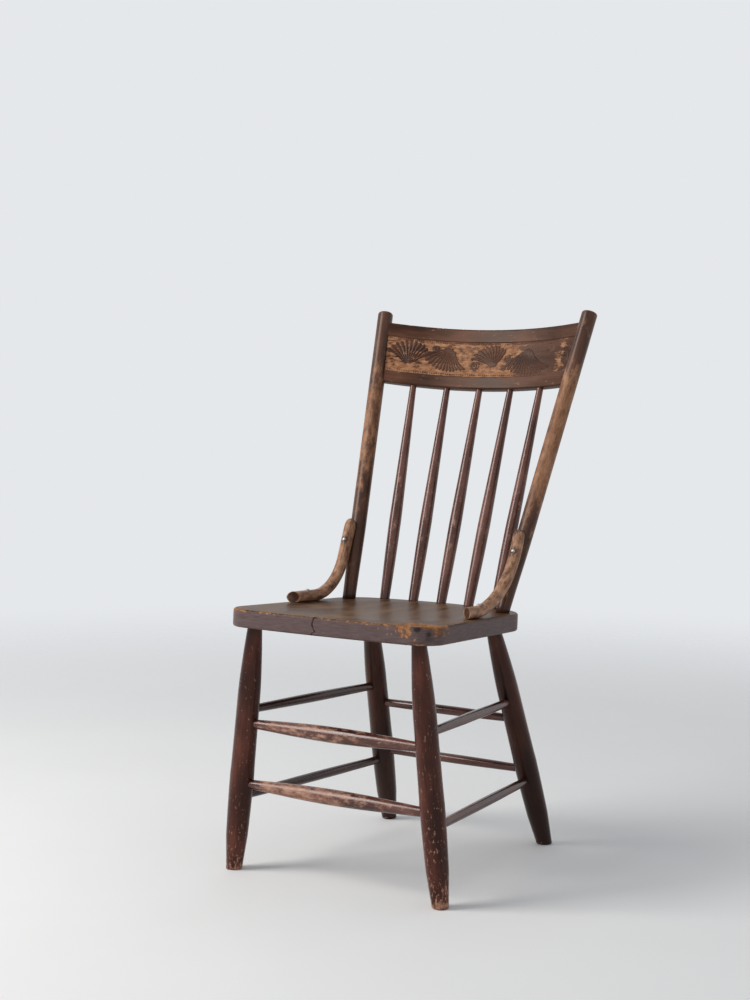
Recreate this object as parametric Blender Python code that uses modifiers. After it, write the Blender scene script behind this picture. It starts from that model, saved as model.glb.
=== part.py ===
# Plank-seated kitchen chair with turned legs, a spindle back and a pressed crest rail.
# Metres, +Z up. The sitter faces -Y. The origin is on the floor under the middle of the chair.
import math

import bmesh
import bpy
from mathutils import Matrix, Vector

CLEARANCE = 0.0003

# Plank seat: a slab that drops towards the back, with bowed front and rear edges
SEAT_HEIGHT = 0.4332
SEAT_TILT = math.radians(2.7)
SEAT_THICKNESS = 0.030
SEAT_FRONT = -0.2820
SEAT_REAR = 0.1200
SEAT_FRONT_WIDTH = 0.392
SEAT_REAR_WIDTH = 0.356
SEAT_FRONT_BOW = 0.0107
SEAT_REAR_BOW = 0.036
SEAT_FRONT_RADIUS = 0.055
SEAT_REAR_RADIUS = 0.045
SEAT_ARRIS = 0.004
SEAT_CORNER_FULLNESS = 0.55
DISH_DEPTH = 0.006
DISH_LENGTH = 0.330
DISH_WIDTH = 0.320
DISH_CENTRE = -0.085
DISH_BALL_RATIO = 10
SPLIT_X = -0.012
SPLIT_WIDTH = 0.0008
SPLIT_DEPTH = 0.014
SPLIT_MARGIN = 0.004

# Turned legs: where each axis meets the floor and the underside of the seat
FRONT_FOOT = (0.200, -0.2345)
FRONT_LEG_TOP = (0.157, -0.2385)
REAR_FOOT = (0.162, 0.2045)
REAR_LEG_TOP = (0.124, 0.0675)
LEG_FOOT_DIAMETER = 0.0265
LEG_CALF_DIAMETER = 0.0350
LEG_BELLY_DIAMETER = 0.0392
LEG_THIGH_DIAMETER = 0.0366
LEG_NECK_DIAMETER = 0.0235
LEG_TENON_DIAMETER = 0.0200
LEG_TENON_LENGTH = 0.020

# Stretchers: heights of their ends on the leg axes
FRONT_UPPER_HEIGHT = 0.2506
FRONT_LOWER_HEIGHT = 0.1480
SIDE_UPPER_FRONT_HEIGHT = 0.2730
SIDE_UPPER_REAR_HEIGHT = 0.2670
SIDE_LOWER_FRONT_HEIGHT = 0.1248
SIDE_LOWER_REAR_HEIGHT = 0.1220
REAR_UPPER_HEIGHT = 0.2350
REAR_LOWER_HEIGHT = 0.1410
FRONT_STRETCHER_DIAMETER = 0.0262
FRONT_STRETCHER_END = 0.0160
STRETCHER_DIAMETER = 0.0166
STRETCHER_END = 0.0142
STRETCHER_INSET = 0.0050

# Back posts: a straight taper that leans back and splays outwards
POST_BASE = (0.154, 0.0435)
POST_LEAN = math.radians(21.8)
POST_SPLAY = math.radians(5.767)
POST_LENGTH = 0.5508
POST_BASE_DIAMETER = 0.0235
POST_DIAMETER = 0.0280
POST_TAPER_LENGTH = 0.150
POST_TENON_DIAMETER = 0.0200
POST_TENON_LENGTH = 0.021
POST_TOP_ROUNDING = 0.004

# Crest rail: a bent board between the posts, just below their tops
CREST_DROP = 0.0207
CREST_HEIGHT = 0.1158
CREST_BOTTOM = POST_LENGTH - CREST_DROP - CREST_HEIGHT
CREST_THICKNESS = 0.017
CREST_SAG = 0.0376
CREST_ARRIS = 0.003
CREST_TENON_THICKNESS = 0.011
CREST_TENON_HEIGHT = 0.086
CREST_TENON_LENGTH = 0.009
PANEL_BOTTOM = 0.024
PANEL_TOP = 0.0905
PANEL_DEPTH = 0.0014

# Pressed ornament: shells of ribs that spread from a root
SHELL_RIBS = 7
SHELL_ROOT = 0.008
SHELL_RIB_FILL = 0.90
SHELL_WIDEST = 0.30

# Spindles: evenly spaced between the posts
SPINDLE_COUNT = 5
SPINDLE_BASE_SPACING = 0.0560
SPINDLE_TOP_SPACING = 0.0650
SPINDLE_LINE = 0.1044
SPINDLE_LINE_BOW = 0.6
SPINDLE_BASE_DIAMETER = 0.0160
SPINDLE_BELLY_DIAMETER = 0.0180
SPINDLE_TOP_DIAMETER = 0.0102
SPINDLE_BELLY_SHARE = 0.30
SPINDLE_BASE_TENON = 0.014
SPINDLE_TOP_TENON = 0.013

# Bent braces: each lies on the seat and rises against the front of a post
BRACE_X = 0.1695
BRACE_DIAMETER = 0.0205
BRACE_FRONT = -0.1095
LEFT_BEND_RADIUS = 0.095
RIGHT_BEND_RADIUS = 0.155
BRACE_TOP = 0.141
BRACE_BEARING_FLAT = 0.0010
BRACE_END_SLANT = math.radians(32)

# Round-head screws that hold the braces
SCREW_HEAD_DIAMETER = 0.0078
SCREW_HEAD_HEIGHT = 0.0028
SCREW_SHANK_DIAMETER = 0.0040
POST_SCREW_SETBACK = 0.042
POST_SCREW_LENGTH = 0.032
SEAT_SCREW_SETBACK = 0.053
SEAT_SCREW_LENGTH = 0.032
SPOT_FACE_DEPTH = 0.0008

SIDES = (("left", -1), ("right", 1))
BEND_RADII = {"left": LEFT_BEND_RADIUS, "right": RIGHT_BEND_RADIUS}


def new_collection(name):
    collection = bpy.data.collections.new(name)
    bpy.context.scene.collection.children.link(collection)
    return collection


def new_material(name, colour, roughness, metallic):
    material = bpy.data.materials.new(name)
    material.use_nodes = True
    shader = material.node_tree.nodes["Principled BSDF"]
    shader.inputs["Base Color"].default_value = (*colour, 1.0)
    shader.inputs["Roughness"].default_value = roughness
    shader.inputs["Metallic"].default_value = metallic
    material.diffuse_color = (*colour, 1.0)
    return material


def mahogany_finish():
    return new_material("mahogany_finish", (0.085, 0.030, 0.020), 0.36, 0.0)


def olive_varnish():
    return new_material("olive_varnish", (0.120, 0.080, 0.055), 0.32, 0.0)


def worn_oak_brown():
    return new_material("worn_oak_brown", (0.170, 0.085, 0.040), 0.42, 0.0)


def worn_brace_wood():
    return new_material("worn_brace_wood", (0.280, 0.150, 0.070), 0.45, 0.0)


def screw_steel():
    return new_material("screw_steel", (0.45, 0.43, 0.41), 0.35, 1.0)


def lerp(start, end, share):
    return start + (end - start) * share


def ease(share):
    """Smooth step from 0 to 1 with level ends."""
    return 0.5 - 0.5 * math.cos(math.pi * share)


def seat_point(x, y, depth=0.0):
    """Point on the flat of the seat, or at a depth below it."""
    return Vector((x, y, SEAT_HEIGHT - y * math.tan(SEAT_TILT) - depth / math.cos(SEAT_TILT)))


def seat_normal():
    return Vector((0, math.sin(SEAT_TILT), math.cos(SEAT_TILT)))


def back_point(x, up, behind=0.0):
    """Point at a distance up the leaning back, and behind the plane of the posts."""
    base = seat_point(0, POST_BASE[1])
    y = base.y + up * math.sin(POST_LEAN) + behind * math.cos(POST_LEAN)
    z = base.z + up * math.cos(POST_LEAN) - behind * math.sin(POST_LEAN)
    return Vector((x, y, z))


def back_normal():
    """Direction that points backwards out of the plane of the posts."""
    return Vector((0, math.cos(POST_LEAN), -math.sin(POST_LEAN)))


def post_x(up):
    return POST_BASE[0] + math.tan(POST_SPLAY) * up


def crest_offset(x):
    """How far the bent crest rail lies behind the plane of the posts."""
    half_span = post_x(CREST_BOTTOM + CREST_HEIGHT / 2)
    return CREST_SAG * (1 - (x / half_span) ** 2)


def leg_axis(foot, top, side, height):
    """Point on a leg's axis at a height above the floor."""
    start = Vector((side * foot[0], foot[1], 0))
    end = seat_point(side * top[0], top[1], SEAT_THICKNESS)
    return start + (end - start) * (height / end.z)


def aim(start, end):
    """Placement with its origin at the start and +Z towards the end."""
    turn = (end - start).to_track_quat("Z", "Y").to_matrix().to_4x4()
    return Matrix.Translation(start) @ turn


def link(name, mesh, collection, material=None):
    thing = bpy.data.objects.new(name, mesh)
    collection.objects.link(thing)
    if material:
        mesh.materials.append(material)
    if collection is cutters:
        thing.hide_render = True
        thing.display_type = "WIRE"
    return thing


def turned(name, profile, steps, placement, collection, material=None):
    """Turn (radius, height) points, listed top to bottom, round the local Z axis."""
    mesh = bpy.data.meshes.new(name)
    points = [(radius, 0, height) for radius, height in profile]
    edges = [(i, i + 1) for i in range(len(points) - 1)]
    mesh.from_pydata(points, edges, [])
    thing = link(name, mesh, collection, material)
    thing.matrix_world = placement
    screw = thing.modifiers.new("turn", "SCREW")
    screw.axis = "Z"
    screw.steps = steps
    screw.render_steps = steps
    screw.use_merge_vertices = True
    screw.merge_threshold = 0.00001
    return thing


def peg(name, radius, start, end, steps=16):
    """Round cutter between two points."""
    length = (end - start).length
    profile = [(0, length), (radius, length), (radius, 0), (0, 0)]
    return turned(name, profile, steps, aim(start, end), cutters)


def cone_peg(name, bottom_radius, top_radius, start, end, steps=20):
    """Tapered round cutter between two points."""
    length = (end - start).length
    profile = [(0, length), (top_radius, length), (bottom_radius, 0), (0, 0)]
    return turned(name, profile, steps, aim(start, end), cutters)


def block(name, size, placement, collection, material=None):
    """Box of a size, centred on a placement."""
    mesh = bpy.data.meshes.new(name)
    shape = bmesh.new()
    bmesh.ops.create_cube(shape, size=1.0, matrix=Matrix.Diagonal((*size, 1.0)))
    shape.to_mesh(mesh)
    shape.free()
    thing = link(name, mesh, collection, material)
    thing.matrix_world = placement
    return thing


def cut(target, cutter):
    step = target.modifiers.new(cutter.name, "BOOLEAN")
    step.operation = "DIFFERENCE"
    step.solver = "EXACT"
    step.object = cutter


def bevel(target, width, segments, angle=40):
    step = target.modifiers.new("arris", "BEVEL")
    step.width = width
    step.segments = segments
    step.limit_method = "ANGLE"
    step.angle_limit = math.radians(angle)


def curve_to_mesh(curve_object, collection, material=None, flat_caps=False):
    """Replace a curve object by its closed mesh, with the caps welded on and flat ones in one face."""
    bpy.context.view_layer.update()
    graph = bpy.context.evaluated_depsgraph_get()
    mesh = bpy.data.meshes.new_from_object(curve_object.evaluated_get(graph))
    shape = bmesh.new()
    shape.from_mesh(mesh)
    bmesh.ops.remove_doubles(shape, verts=shape.verts, dist=0.00001)
    if flat_caps:
        level = math.radians(0.1)
        bmesh.ops.dissolve_limit(shape, angle_limit=level, verts=shape.verts, edges=shape.edges)
    bmesh.ops.recalc_face_normals(shape, faces=shape.faces)
    shape.to_mesh(mesh)
    shape.free()
    name = curve_object.name
    placement = curve_object.matrix_world.copy()
    bpy.data.objects.remove(curve_object)
    thing = link(name, mesh, collection, material)
    thing.name = name
    thing.matrix_world = placement
    return thing


def flat_outline(name, points, thickness, placement, collection, material=None):
    """Slab from a closed outline of straight runs, centred on its own plane."""
    curve = bpy.data.curves.new(name, "CURVE")
    curve.dimensions = "2D"
    curve.fill_mode = "BOTH"
    curve.extrude = thickness / 2
    spline = curve.splines.new("POLY")
    spline.points.add(len(points) - 1)
    for point, place in zip(spline.points, points):
        point.co = (*place, 0, 1)
    spline.use_cyclic_u = True
    thing = link(name, curve, collection)
    thing.matrix_world = placement
    return curve_to_mesh(thing, collection, material, flat_caps=True)


def round_rod(name, path, radii, bevel_radius, sides_resolution, collection, material=None):
    """Rod along a list of points, with a radius factor at each point."""
    curve = bpy.data.curves.new(name, "CURVE")
    curve.dimensions = "3D"
    curve.bevel_depth = bevel_radius
    curve.bevel_resolution = sides_resolution
    curve.use_fill_caps = True
    spline = curve.splines.new("POLY")
    spline.points.add(len(path) - 1)
    for point, place, factor in zip(spline.points, path, radii):
        point.co = (*place, 1)
        point.radius = factor
    return curve_to_mesh(link(name, curve, collection), collection, material)


def finish(thing):
    """Fix the modelling steps in the mesh, close the slivers of its cuts and shade it smooth."""
    sliver = 0.000004
    graph = bpy.context.evaluated_depsgraph_get()
    mesh = bpy.data.meshes.new_from_object(thing.evaluated_get(graph))
    shape = bmesh.new()
    shape.from_mesh(mesh)
    bmesh.ops.remove_doubles(shape, verts=shape.verts, dist=sliver)
    bmesh.ops.dissolve_degenerate(shape, edges=shape.edges, dist=sliver)
    shape.to_mesh(mesh)
    shape.free()
    thing.modifiers.clear()
    thing.data = mesh
    mesh.shade_smooth()
    mesh.set_sharp_from_angle(angle=math.radians(32))


def seat_half_outline():
    """Right-hand Bezier points of the seat, front to back: place, direction, reach back and on."""
    front_half = SEAT_FRONT_WIDTH / 2
    rear_half = SEAT_REAR_WIDTH / 2
    front_corner = Vector((front_half, SEAT_FRONT + SEAT_FRONT_BOW))
    rear_corner = Vector((rear_half, SEAT_REAR - SEAT_REAR_BOW))
    side = (rear_corner - front_corner).normalized()
    x_front = front_half - SEAT_FRONT_RADIUS
    x_rear = rear_half - SEAT_REAR_RADIUS
    front_bend = SEAT_FRONT_BOW / front_half ** 2
    rear_bend = SEAT_REAR_BOW / rear_half ** 2
    front = Vector((x_front, SEAT_FRONT + front_bend * x_front ** 2))
    rear = Vector((x_rear, SEAT_REAR - rear_bend * x_rear ** 2))
    front_way = Vector((1, 2 * front_bend * x_front)).normalized()
    rear_way = Vector((-1, 2 * rear_bend * x_rear)).normalized()
    side_start = front_corner + side * SEAT_FRONT_RADIUS
    side_end = rear_corner - side * SEAT_REAR_RADIUS
    side_reach = (side_end - side_start).length / 3
    front_turn = SEAT_CORNER_FULLNESS * SEAT_FRONT_RADIUS
    rear_turn = SEAT_CORNER_FULLNESS * SEAT_REAR_RADIUS
    return [
        (front, front_way, 2 * x_front / 3 / front_way.x, front_turn),
        (side_start, side, front_turn, side_reach),
        (side_end, side, side_reach, rear_turn),
        (rear, rear_way, rear_turn, 2 * x_rear / 3 / -rear_way.x),
    ]


def seat_slab(material):
    right = seat_half_outline()
    left = []
    for place, way, back, onward in reversed(right):
        left.append((Vector((-place.x, place.y)), Vector((way.x, -way.y)), onward, back))
    curve = bpy.data.curves.new("seat", "CURVE")
    curve.dimensions = "2D"
    curve.fill_mode = "BOTH"
    curve.extrude = SEAT_THICKNESS / 2
    curve.resolution_u = 8
    spline = curve.splines.new("BEZIER")
    spline.bezier_points.add(len(right + left) - 1)
    for point, (place, way, back, onward) in zip(spline.bezier_points, right + left):
        point.handle_left_type = "FREE"
        point.handle_right_type = "FREE"
        point.co = (*place, 0)
        point.handle_left = (*(place - way * back), 0)
        point.handle_right = (*(place + way * onward), 0)
    spline.use_cyclic_u = True
    thing = link("seat", curve, part)
    tilt = Matrix.Rotation(-SEAT_TILT, 4, "X")
    thing.matrix_world = Matrix.Translation(seat_point(0, 0, SEAT_THICKNESS / 2)) @ tilt
    return curve_to_mesh(thing, part, material, flat_caps=True)


def dish_cutter():
    """Flattened ball whose lowest part hollows the seat to the dish's depth."""
    height = DISH_BALL_RATIO * DISH_DEPTH
    rise = height - DISH_DEPTH
    spread = math.sqrt(1 - (rise / height) ** 2)
    scale = Matrix.Diagonal((DISH_WIDTH / 2 / spread, DISH_LENGTH / 2 / spread, height, 1))
    mesh = bpy.data.meshes.new("dish")
    shape = bmesh.new()
    bmesh.ops.create_uvsphere(shape, u_segments=30, v_segments=36, radius=1.0, matrix=scale)
    shape.to_mesh(mesh)
    shape.free()
    thing = link("dish", mesh, cutters)
    tilt = Matrix.Rotation(-SEAT_TILT, 4, "X")
    thing.matrix_world = Matrix.Translation(seat_point(0, DISH_CENTRE) + seat_normal() * rise) @ tilt
    return thing


def split_cutter():
    """Thin S-shaped split that opens the front edge of the plank from top to bottom."""
    winding = [(0, 0), (-0.0035, 0.35), (-0.002, 0.55), (0.0022, 0.78), (-0.0035, 0.88)]
    path = [(0.001, SPLIT_MARGIN)] + [(x, -share * SEAT_THICKNESS) for x, share in winding]
    path.append((path[-1][0], -SEAT_THICKNESS - SPLIT_MARGIN))
    half = SPLIT_WIDTH / 2
    outline = [(x + half, z) for x, z in path] + [(x - half, z) for x, z in reversed(path)]
    front = seat_point(SPLIT_X, SEAT_FRONT)
    placement = Matrix.Translation(front) @ Matrix.Rotation(math.pi / 2 - SEAT_TILT, 4, "X")
    return flat_outline("split", outline, 2 * SPLIT_DEPTH, placement, cutters)


def build_seat(material):
    seat = seat_slab(material)
    bevel(seat, SEAT_ARRIS, 3)
    cut(seat, dish_cutter())
    cut(seat, split_cutter())
    return seat


def leg_profile(length):
    """Turned outline of a leg from its tenon down past the floor, with its belly below the middle."""
    stations = [
        (0.0, LEG_FOOT_DIAMETER),
        (0.14, LEG_CALF_DIAMETER),
        (0.40, LEG_BELLY_DIAMETER),
        (0.72, LEG_THIGH_DIAMETER),
        (1.0, LEG_NECK_DIAMETER),
    ]
    swell = (1.0, 0.6, 0.5, 1.5)
    steps = (2, 3, 3, 4)
    overrun = LEG_FOOT_DIAMETER / 2
    profile = [(0, -overrun), (LEG_FOOT_DIAMETER / 2, -overrun)]
    for index, count in enumerate(steps):
        low, low_diameter = stations[index]
        high, high_diameter = stations[index + 1]
        for step in range(count):
            share = step / count
            if high_diameter < low_diameter:
                bend = share ** swell[index]
            else:
                bend = 1 - (1 - share) ** (1 / swell[index])
            diameter = lerp(low_diameter, high_diameter, bend)
            profile.append((diameter / 2, lerp(low, high, share) * length))
    profile.append((LEG_NECK_DIAMETER / 2, length))
    profile.append((LEG_TENON_DIAMETER / 2, length + LEG_TENON_LENGTH))
    profile.append((0, length + LEG_TENON_LENGTH))
    return profile[::-1]


def build_leg(name, foot, top, side, seat, floor, material):
    start = leg_axis(foot, top, side, 0)
    end = seat_point(side * top[0], top[1], SEAT_THICKNESS)
    length = (end - start).length
    leg = turned(name, leg_profile(length), 18, aim(start, end), part, material)
    cut(leg, floor)
    along = (end - start) / length
    slope = (LEG_NECK_DIAMETER - LEG_TENON_DIAMETER) / 2 / LEG_TENON_LENGTH
    mouth = LEG_NECK_DIAMETER / 2 + CLEARANCE + slope * LEG_TENON_LENGTH
    tip = LEG_TENON_DIAMETER / 2 + CLEARANCE
    bottom = end - along * LEG_TENON_LENGTH
    head = end + along * (LEG_TENON_LENGTH + CLEARANCE)
    cut(seat, cone_peg(name + "_socket", mouth, tip, bottom, head))
    return leg


def stretcher_profile(length, diameter, end_diameter, rings):
    """Cigar outline: straight ends in the legs and a smooth swelling between."""
    tenon = LEG_BELLY_DIAMETER / 2 - STRETCHER_INSET
    profile = [(0, length), (end_diameter / 2, length)]
    for ring in range(rings + 1):
        share = 1 - ring / rings
        swelling = math.sin(math.pi * share) ** 1.15
        profile.append((lerp(end_diameter, diameter, swelling) / 2, lerp(tenon, length - tenon, share)))
    profile += [(end_diameter / 2, 0), (0, 0)]
    return profile


def build_stretcher(name, start, end, diameter, end_diameter, sizes, start_leg, end_leg, material):
    """Stretcher between two points on leg axes, in a blind socket in each leg."""
    rings, steps = sizes
    along = (end - start).normalized()
    tip = start + along * STRETCHER_INSET
    tail = end - along * STRETCHER_INSET
    profile = stretcher_profile((tail - tip).length, diameter, end_diameter, rings)
    rod = turned(name, profile, steps, aim(tip, tail), part, material)
    reach = LEG_BELLY_DIAMETER
    radius = end_diameter / 2 + CLEARANCE
    cut(start_leg, peg(name + "_socket_a", radius, tip - along * CLEARANCE, start + along * reach, steps))
    cut(end_leg, peg(name + "_socket_b", radius, end - along * reach, tail + along * CLEARANCE, steps))
    return rod


def build_undercarriage(seat, material):
    """Four splayed legs, tied by two rungs on each side of the frame."""
    floor = block("floor", (1.0, 1.0, 0.1), Matrix.Translation((0, 0, -0.05)), cutters)
    ends = {"front": (FRONT_FOOT, FRONT_LEG_TOP), "rear": (REAR_FOOT, REAR_LEG_TOP)}
    legs = {}
    for row, (foot, top) in ends.items():
        for hand, side in SIDES:
            legs[row, hand] = build_leg(f"{row}_leg_{hand}", foot, top, side, seat, floor, material)

    def axis(row, hand, height):
        foot, top = ends[row]
        return leg_axis(foot, top, dict(SIDES)[hand], height)

    front_sizes = (FRONT_STRETCHER_DIAMETER, FRONT_STRETCHER_END, (12, 16))
    rear_sizes = (STRETCHER_DIAMETER, STRETCHER_END, (6, 12))
    cross = {
        "front_stretcher_upper": ("front", FRONT_UPPER_HEIGHT, front_sizes),
        "front_stretcher_lower": ("front", FRONT_LOWER_HEIGHT, front_sizes),
        "rear_stretcher_upper": ("rear", REAR_UPPER_HEIGHT, rear_sizes),
        "rear_stretcher_lower": ("rear", REAR_LOWER_HEIGHT, rear_sizes),
    }
    for name, (row, height, sizes) in cross.items():
        build_stretcher(
            name, axis(row, "left", height), axis(row, "right", height), *sizes,
            legs[row, "left"], legs[row, "right"], material)
    levels = {
        "upper": (SIDE_UPPER_FRONT_HEIGHT, SIDE_UPPER_REAR_HEIGHT),
        "lower": (SIDE_LOWER_FRONT_HEIGHT, SIDE_LOWER_REAR_HEIGHT),
    }
    for hand, _ in SIDES:
        for level, (front_height, rear_height) in levels.items():
            build_stretcher(
                f"side_stretcher_{hand}_{level}", axis("front", hand, front_height),
                axis("rear", hand, rear_height), STRETCHER_DIAMETER, STRETCHER_END,
                (6, 12), legs["front", hand], legs["rear", hand], material)


def post_profile(length):
    """Post from its domed top to its tenon, slimmer where it enters the seat."""
    radius = POST_DIAMETER / 2
    dome = POST_TOP_ROUNDING
    profile = [(0, length), (radius - dome, length)]
    for step in (1, 2):
        turn = math.pi / 4 * step
        profile.append((radius - dome + dome * math.sin(turn), length - dome + dome * math.cos(turn)))
    for share in (1, 2 / 3, 1 / 3, 0):
        diameter = lerp(POST_BASE_DIAMETER, POST_DIAMETER, ease(share))
        profile.append((diameter / 2, POST_TAPER_LENGTH * share))
    profile += [(POST_TENON_DIAMETER / 2, -POST_TENON_LENGTH), (0, -POST_TENON_LENGTH)]
    return profile


def build_post(hand, side, seat, material):
    base = back_point(side * post_x(0), 0)
    top = back_point(side * post_x(POST_LENGTH), POST_LENGTH)
    length = (top - base).length
    post = turned(f"back_post_{hand}", post_profile(length), 20, aim(base, top), part, material)
    along = (top - base) / length
    slope = (POST_BASE_DIAMETER - POST_TENON_DIAMETER) / 2 / POST_TENON_LENGTH
    margin = POST_BASE_DIAMETER / 2
    mouth = POST_BASE_DIAMETER / 2 + CLEARANCE + slope * margin
    tip = POST_TENON_DIAMETER / 2 + CLEARANCE
    bottom = base - along * (POST_TENON_LENGTH + CLEARANCE)
    cut(seat, cone_peg(f"post_socket_{hand}", tip, mouth, bottom, base + along * margin))
    return post


def bent_board(name, low, high, thickness, forward, columns, rows, collection, material=None, reach=0.0):
    """Board that follows the bend of the crest rail between two heights, from post to post."""
    mesh = bpy.data.meshes.new(name)
    shape = bmesh.new()
    bmesh.ops.create_grid(shape, x_segments=columns, y_segments=rows, size=1.0)
    for vertex in shape.verts:
        up = lerp(low, high, (vertex.co.y + 1) / 2)
        x = vertex.co.x * (post_x(up) + reach)
        vertex.co = back_point(x, up, crest_offset(x) - forward)
    shape.to_mesh(mesh)
    shape.free()
    thing = link(name, mesh, collection, material)
    shell = thing.modifiers.new("thickness", "SOLIDIFY")
    shell.thickness = thickness
    shell.offset = 0
    shell.use_even_offset = True
    return thing


def on_crest(x, rise, turn=0.0):
    """Placement on the pressed ground of the crest rail, +Y at a turn from upwards, +Z to the front."""
    up = CREST_BOTTOM + rise
    step = 0.001
    ground = CREST_THICKNESS / 2 - PANEL_DEPTH
    here = back_point(x, up, crest_offset(x))
    across = (back_point(x + step, up, crest_offset(x + step)) - here).normalized()
    upwards = (back_point(x, up + step, crest_offset(x)) - here).normalized()
    front = across.cross(upwards).normalized()
    frame = Matrix((across, upwards, front)).transposed().to_4x4()
    return Matrix.Translation(here + front * ground) @ frame @ Matrix.Rotation(turn, 4, "Z")


def add_rib(shape, place, length, width):
    """Leaf-like rib that starts a little way from its root on the pressed ground."""
    size = Matrix.Diagonal((width / 2, length / 2, 2 * PANEL_DEPTH, 1))
    leaf = place @ Matrix.Translation((0, length / 2 + SHELL_ROOT, 0)) @ size
    upright = Matrix.Rotation(math.pi / 2, 4, "X")
    bmesh.ops.create_uvsphere(shape, u_segments=8, v_segments=5, radius=1.0, matrix=leaf @ upright)


def ornament():
    """Pressed shells along the rail: upright, drooping, a half-open leaf, drooping."""
    down = math.pi
    shells = [
        (-0.143, 0.036, 0.03, 0.93, 0.048, 0.048),
        (-0.062, 0.0715, down - 0.17, 0.96, 0.060, 0.039),
        (0.022, 0.042, 0.35, 0.56, 0.045, 0.037),
        (0.100, 0.073, down + 0.02, 0.93, 0.060, 0.045),
    ]
    mesh = bpy.data.meshes.new("ornament")
    shape = bmesh.new()
    for x, rise, turn, half_fan, reach, height in shells:
        step = 2 * half_fan / (SHELL_RIBS - 1)
        for rib in range(SHELL_RIBS):
            lean = turn + half_fan - rib * step
            length = min(reach, height / abs(math.cos(lean))) - SHELL_ROOT
            width = SHELL_RIB_FILL * step * (SHELL_ROOT + SHELL_WIDEST * length)
            add_rib(shape, on_crest(x, rise, lean), length, width)
    shape.to_mesh(mesh)
    shape.free()
    return link("ornament", mesh, cutters)


def build_crest(posts, material):
    low = CREST_BOTTOM
    high = CREST_BOTTOM + CREST_HEIGHT
    crest = bent_board("crest_rail", low, high, CREST_THICKNESS, 0, 24, 1, part, material)
    bevel(crest, CREST_ARRIS, 2)
    middle = CREST_BOTTOM + CREST_HEIGHT / 2
    for (hand, side), post in zip(SIDES, posts):
        base = back_point(side * post_x(0), 0)
        top = back_point(side * post_x(POST_LENGTH), POST_LENGTH)
        along = (top - base).normalized()
        foot = back_point(side * post_x(low - POST_DIAMETER), low - POST_DIAMETER)
        head = back_point(side * post_x(high + POST_DIAMETER), high + POST_DIAMETER)
        cope = peg(f"crest_cope_{hand}", POST_DIAMETER / 2 + CLEARANCE, foot, head, 20)
        back = (back_normal() - along * back_normal().dot(along)).normalized()
        inward = along.cross(back) * side
        centre = back_point(side * post_x(middle), middle)
        depth = POST_DIAMETER / 2 - CREST_TENON_LENGTH
        turn = Matrix((inward, back, along)).transposed().to_4x4()
        for owner, gap in ((cope, 0.0), (post, CLEARANCE)):
            length = POST_DIAMETER
            start = depth - gap
            size = (length, CREST_TENON_THICKNESS + 2 * gap, CREST_TENON_HEIGHT + 2 * gap)
            place = Matrix.Translation(centre + inward * (start + length / 2)) @ turn
            cut(owner, block(f"crest_tenon_{owner.name}", size, place, cutters))
        cut(crest, cope)
    return crest


def press_panel(crest):
    """Press the ground of the panel into the crest rail and leave the ornament standing."""
    low = CREST_BOTTOM + PANEL_BOTTOM
    high = CREST_BOTTOM + PANEL_TOP
    ground = CREST_THICKNESS / 2
    panel = bent_board("panel", low, high, 2 * PANEL_DEPTH, ground, 24, 1, cutters, reach=POST_DIAMETER)
    cut(panel, ornament())
    cut(crest, panel)


def spindle_profile(length):
    """Spindle from its slender top tenon to its base, fullest at the lower third."""
    belly = SPINDLE_BELLY_SHARE
    profile = [(0, length + SPINDLE_TOP_TENON), (SPINDLE_TOP_DIAMETER / 2, length + SPINDLE_TOP_TENON)]
    for step in range(6):
        share = 1 - step / 6
        diameter = lerp(SPINDLE_BELLY_DIAMETER, SPINDLE_TOP_DIAMETER, share ** 1.1)
        profile.append((diameter / 2, lerp(belly, 1, share) * length))
    for step in range(3):
        share = 1 - step / 2
        diameter = lerp(SPINDLE_BASE_DIAMETER, SPINDLE_BELLY_DIAMETER, math.sin(math.pi / 2 * share))
        profile.append((diameter / 2, belly * share * length))
    profile += [(SPINDLE_BASE_DIAMETER / 2, -SPINDLE_BASE_TENON), (0, -SPINDLE_BASE_TENON)]
    return profile


def build_spindle(number, seat, crest, material):
    place = number - (SPINDLE_COUNT - 1) / 2
    base_x = place * SPINDLE_BASE_SPACING
    top_x = place * SPINDLE_TOP_SPACING
    base = seat_point(base_x, SPINDLE_LINE - SPINDLE_LINE_BOW * base_x ** 2)
    top = back_point(top_x, CREST_BOTTOM, crest_offset(top_x))
    length = (top - base).length
    along = (top - base) / length
    name = f"spindle_{number + 1}"
    spindle = turned(name, spindle_profile(length), 12, aim(base, top), part, material)
    margin = SPINDLE_BASE_DIAMETER
    base_radius = SPINDLE_BASE_DIAMETER / 2 + CLEARANCE
    top_radius = SPINDLE_TOP_DIAMETER / 2 + CLEARANCE
    bottom = base - along * (SPINDLE_BASE_TENON + CLEARANCE)
    end = top + along * (SPINDLE_TOP_TENON + CLEARANCE)
    cut(seat, peg(name + "_base_socket", base_radius, bottom, base + along * margin, 12))
    cut(crest, peg(name + "_top_socket", top_radius, top - along * margin, end, 12))
    return spindle


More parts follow.
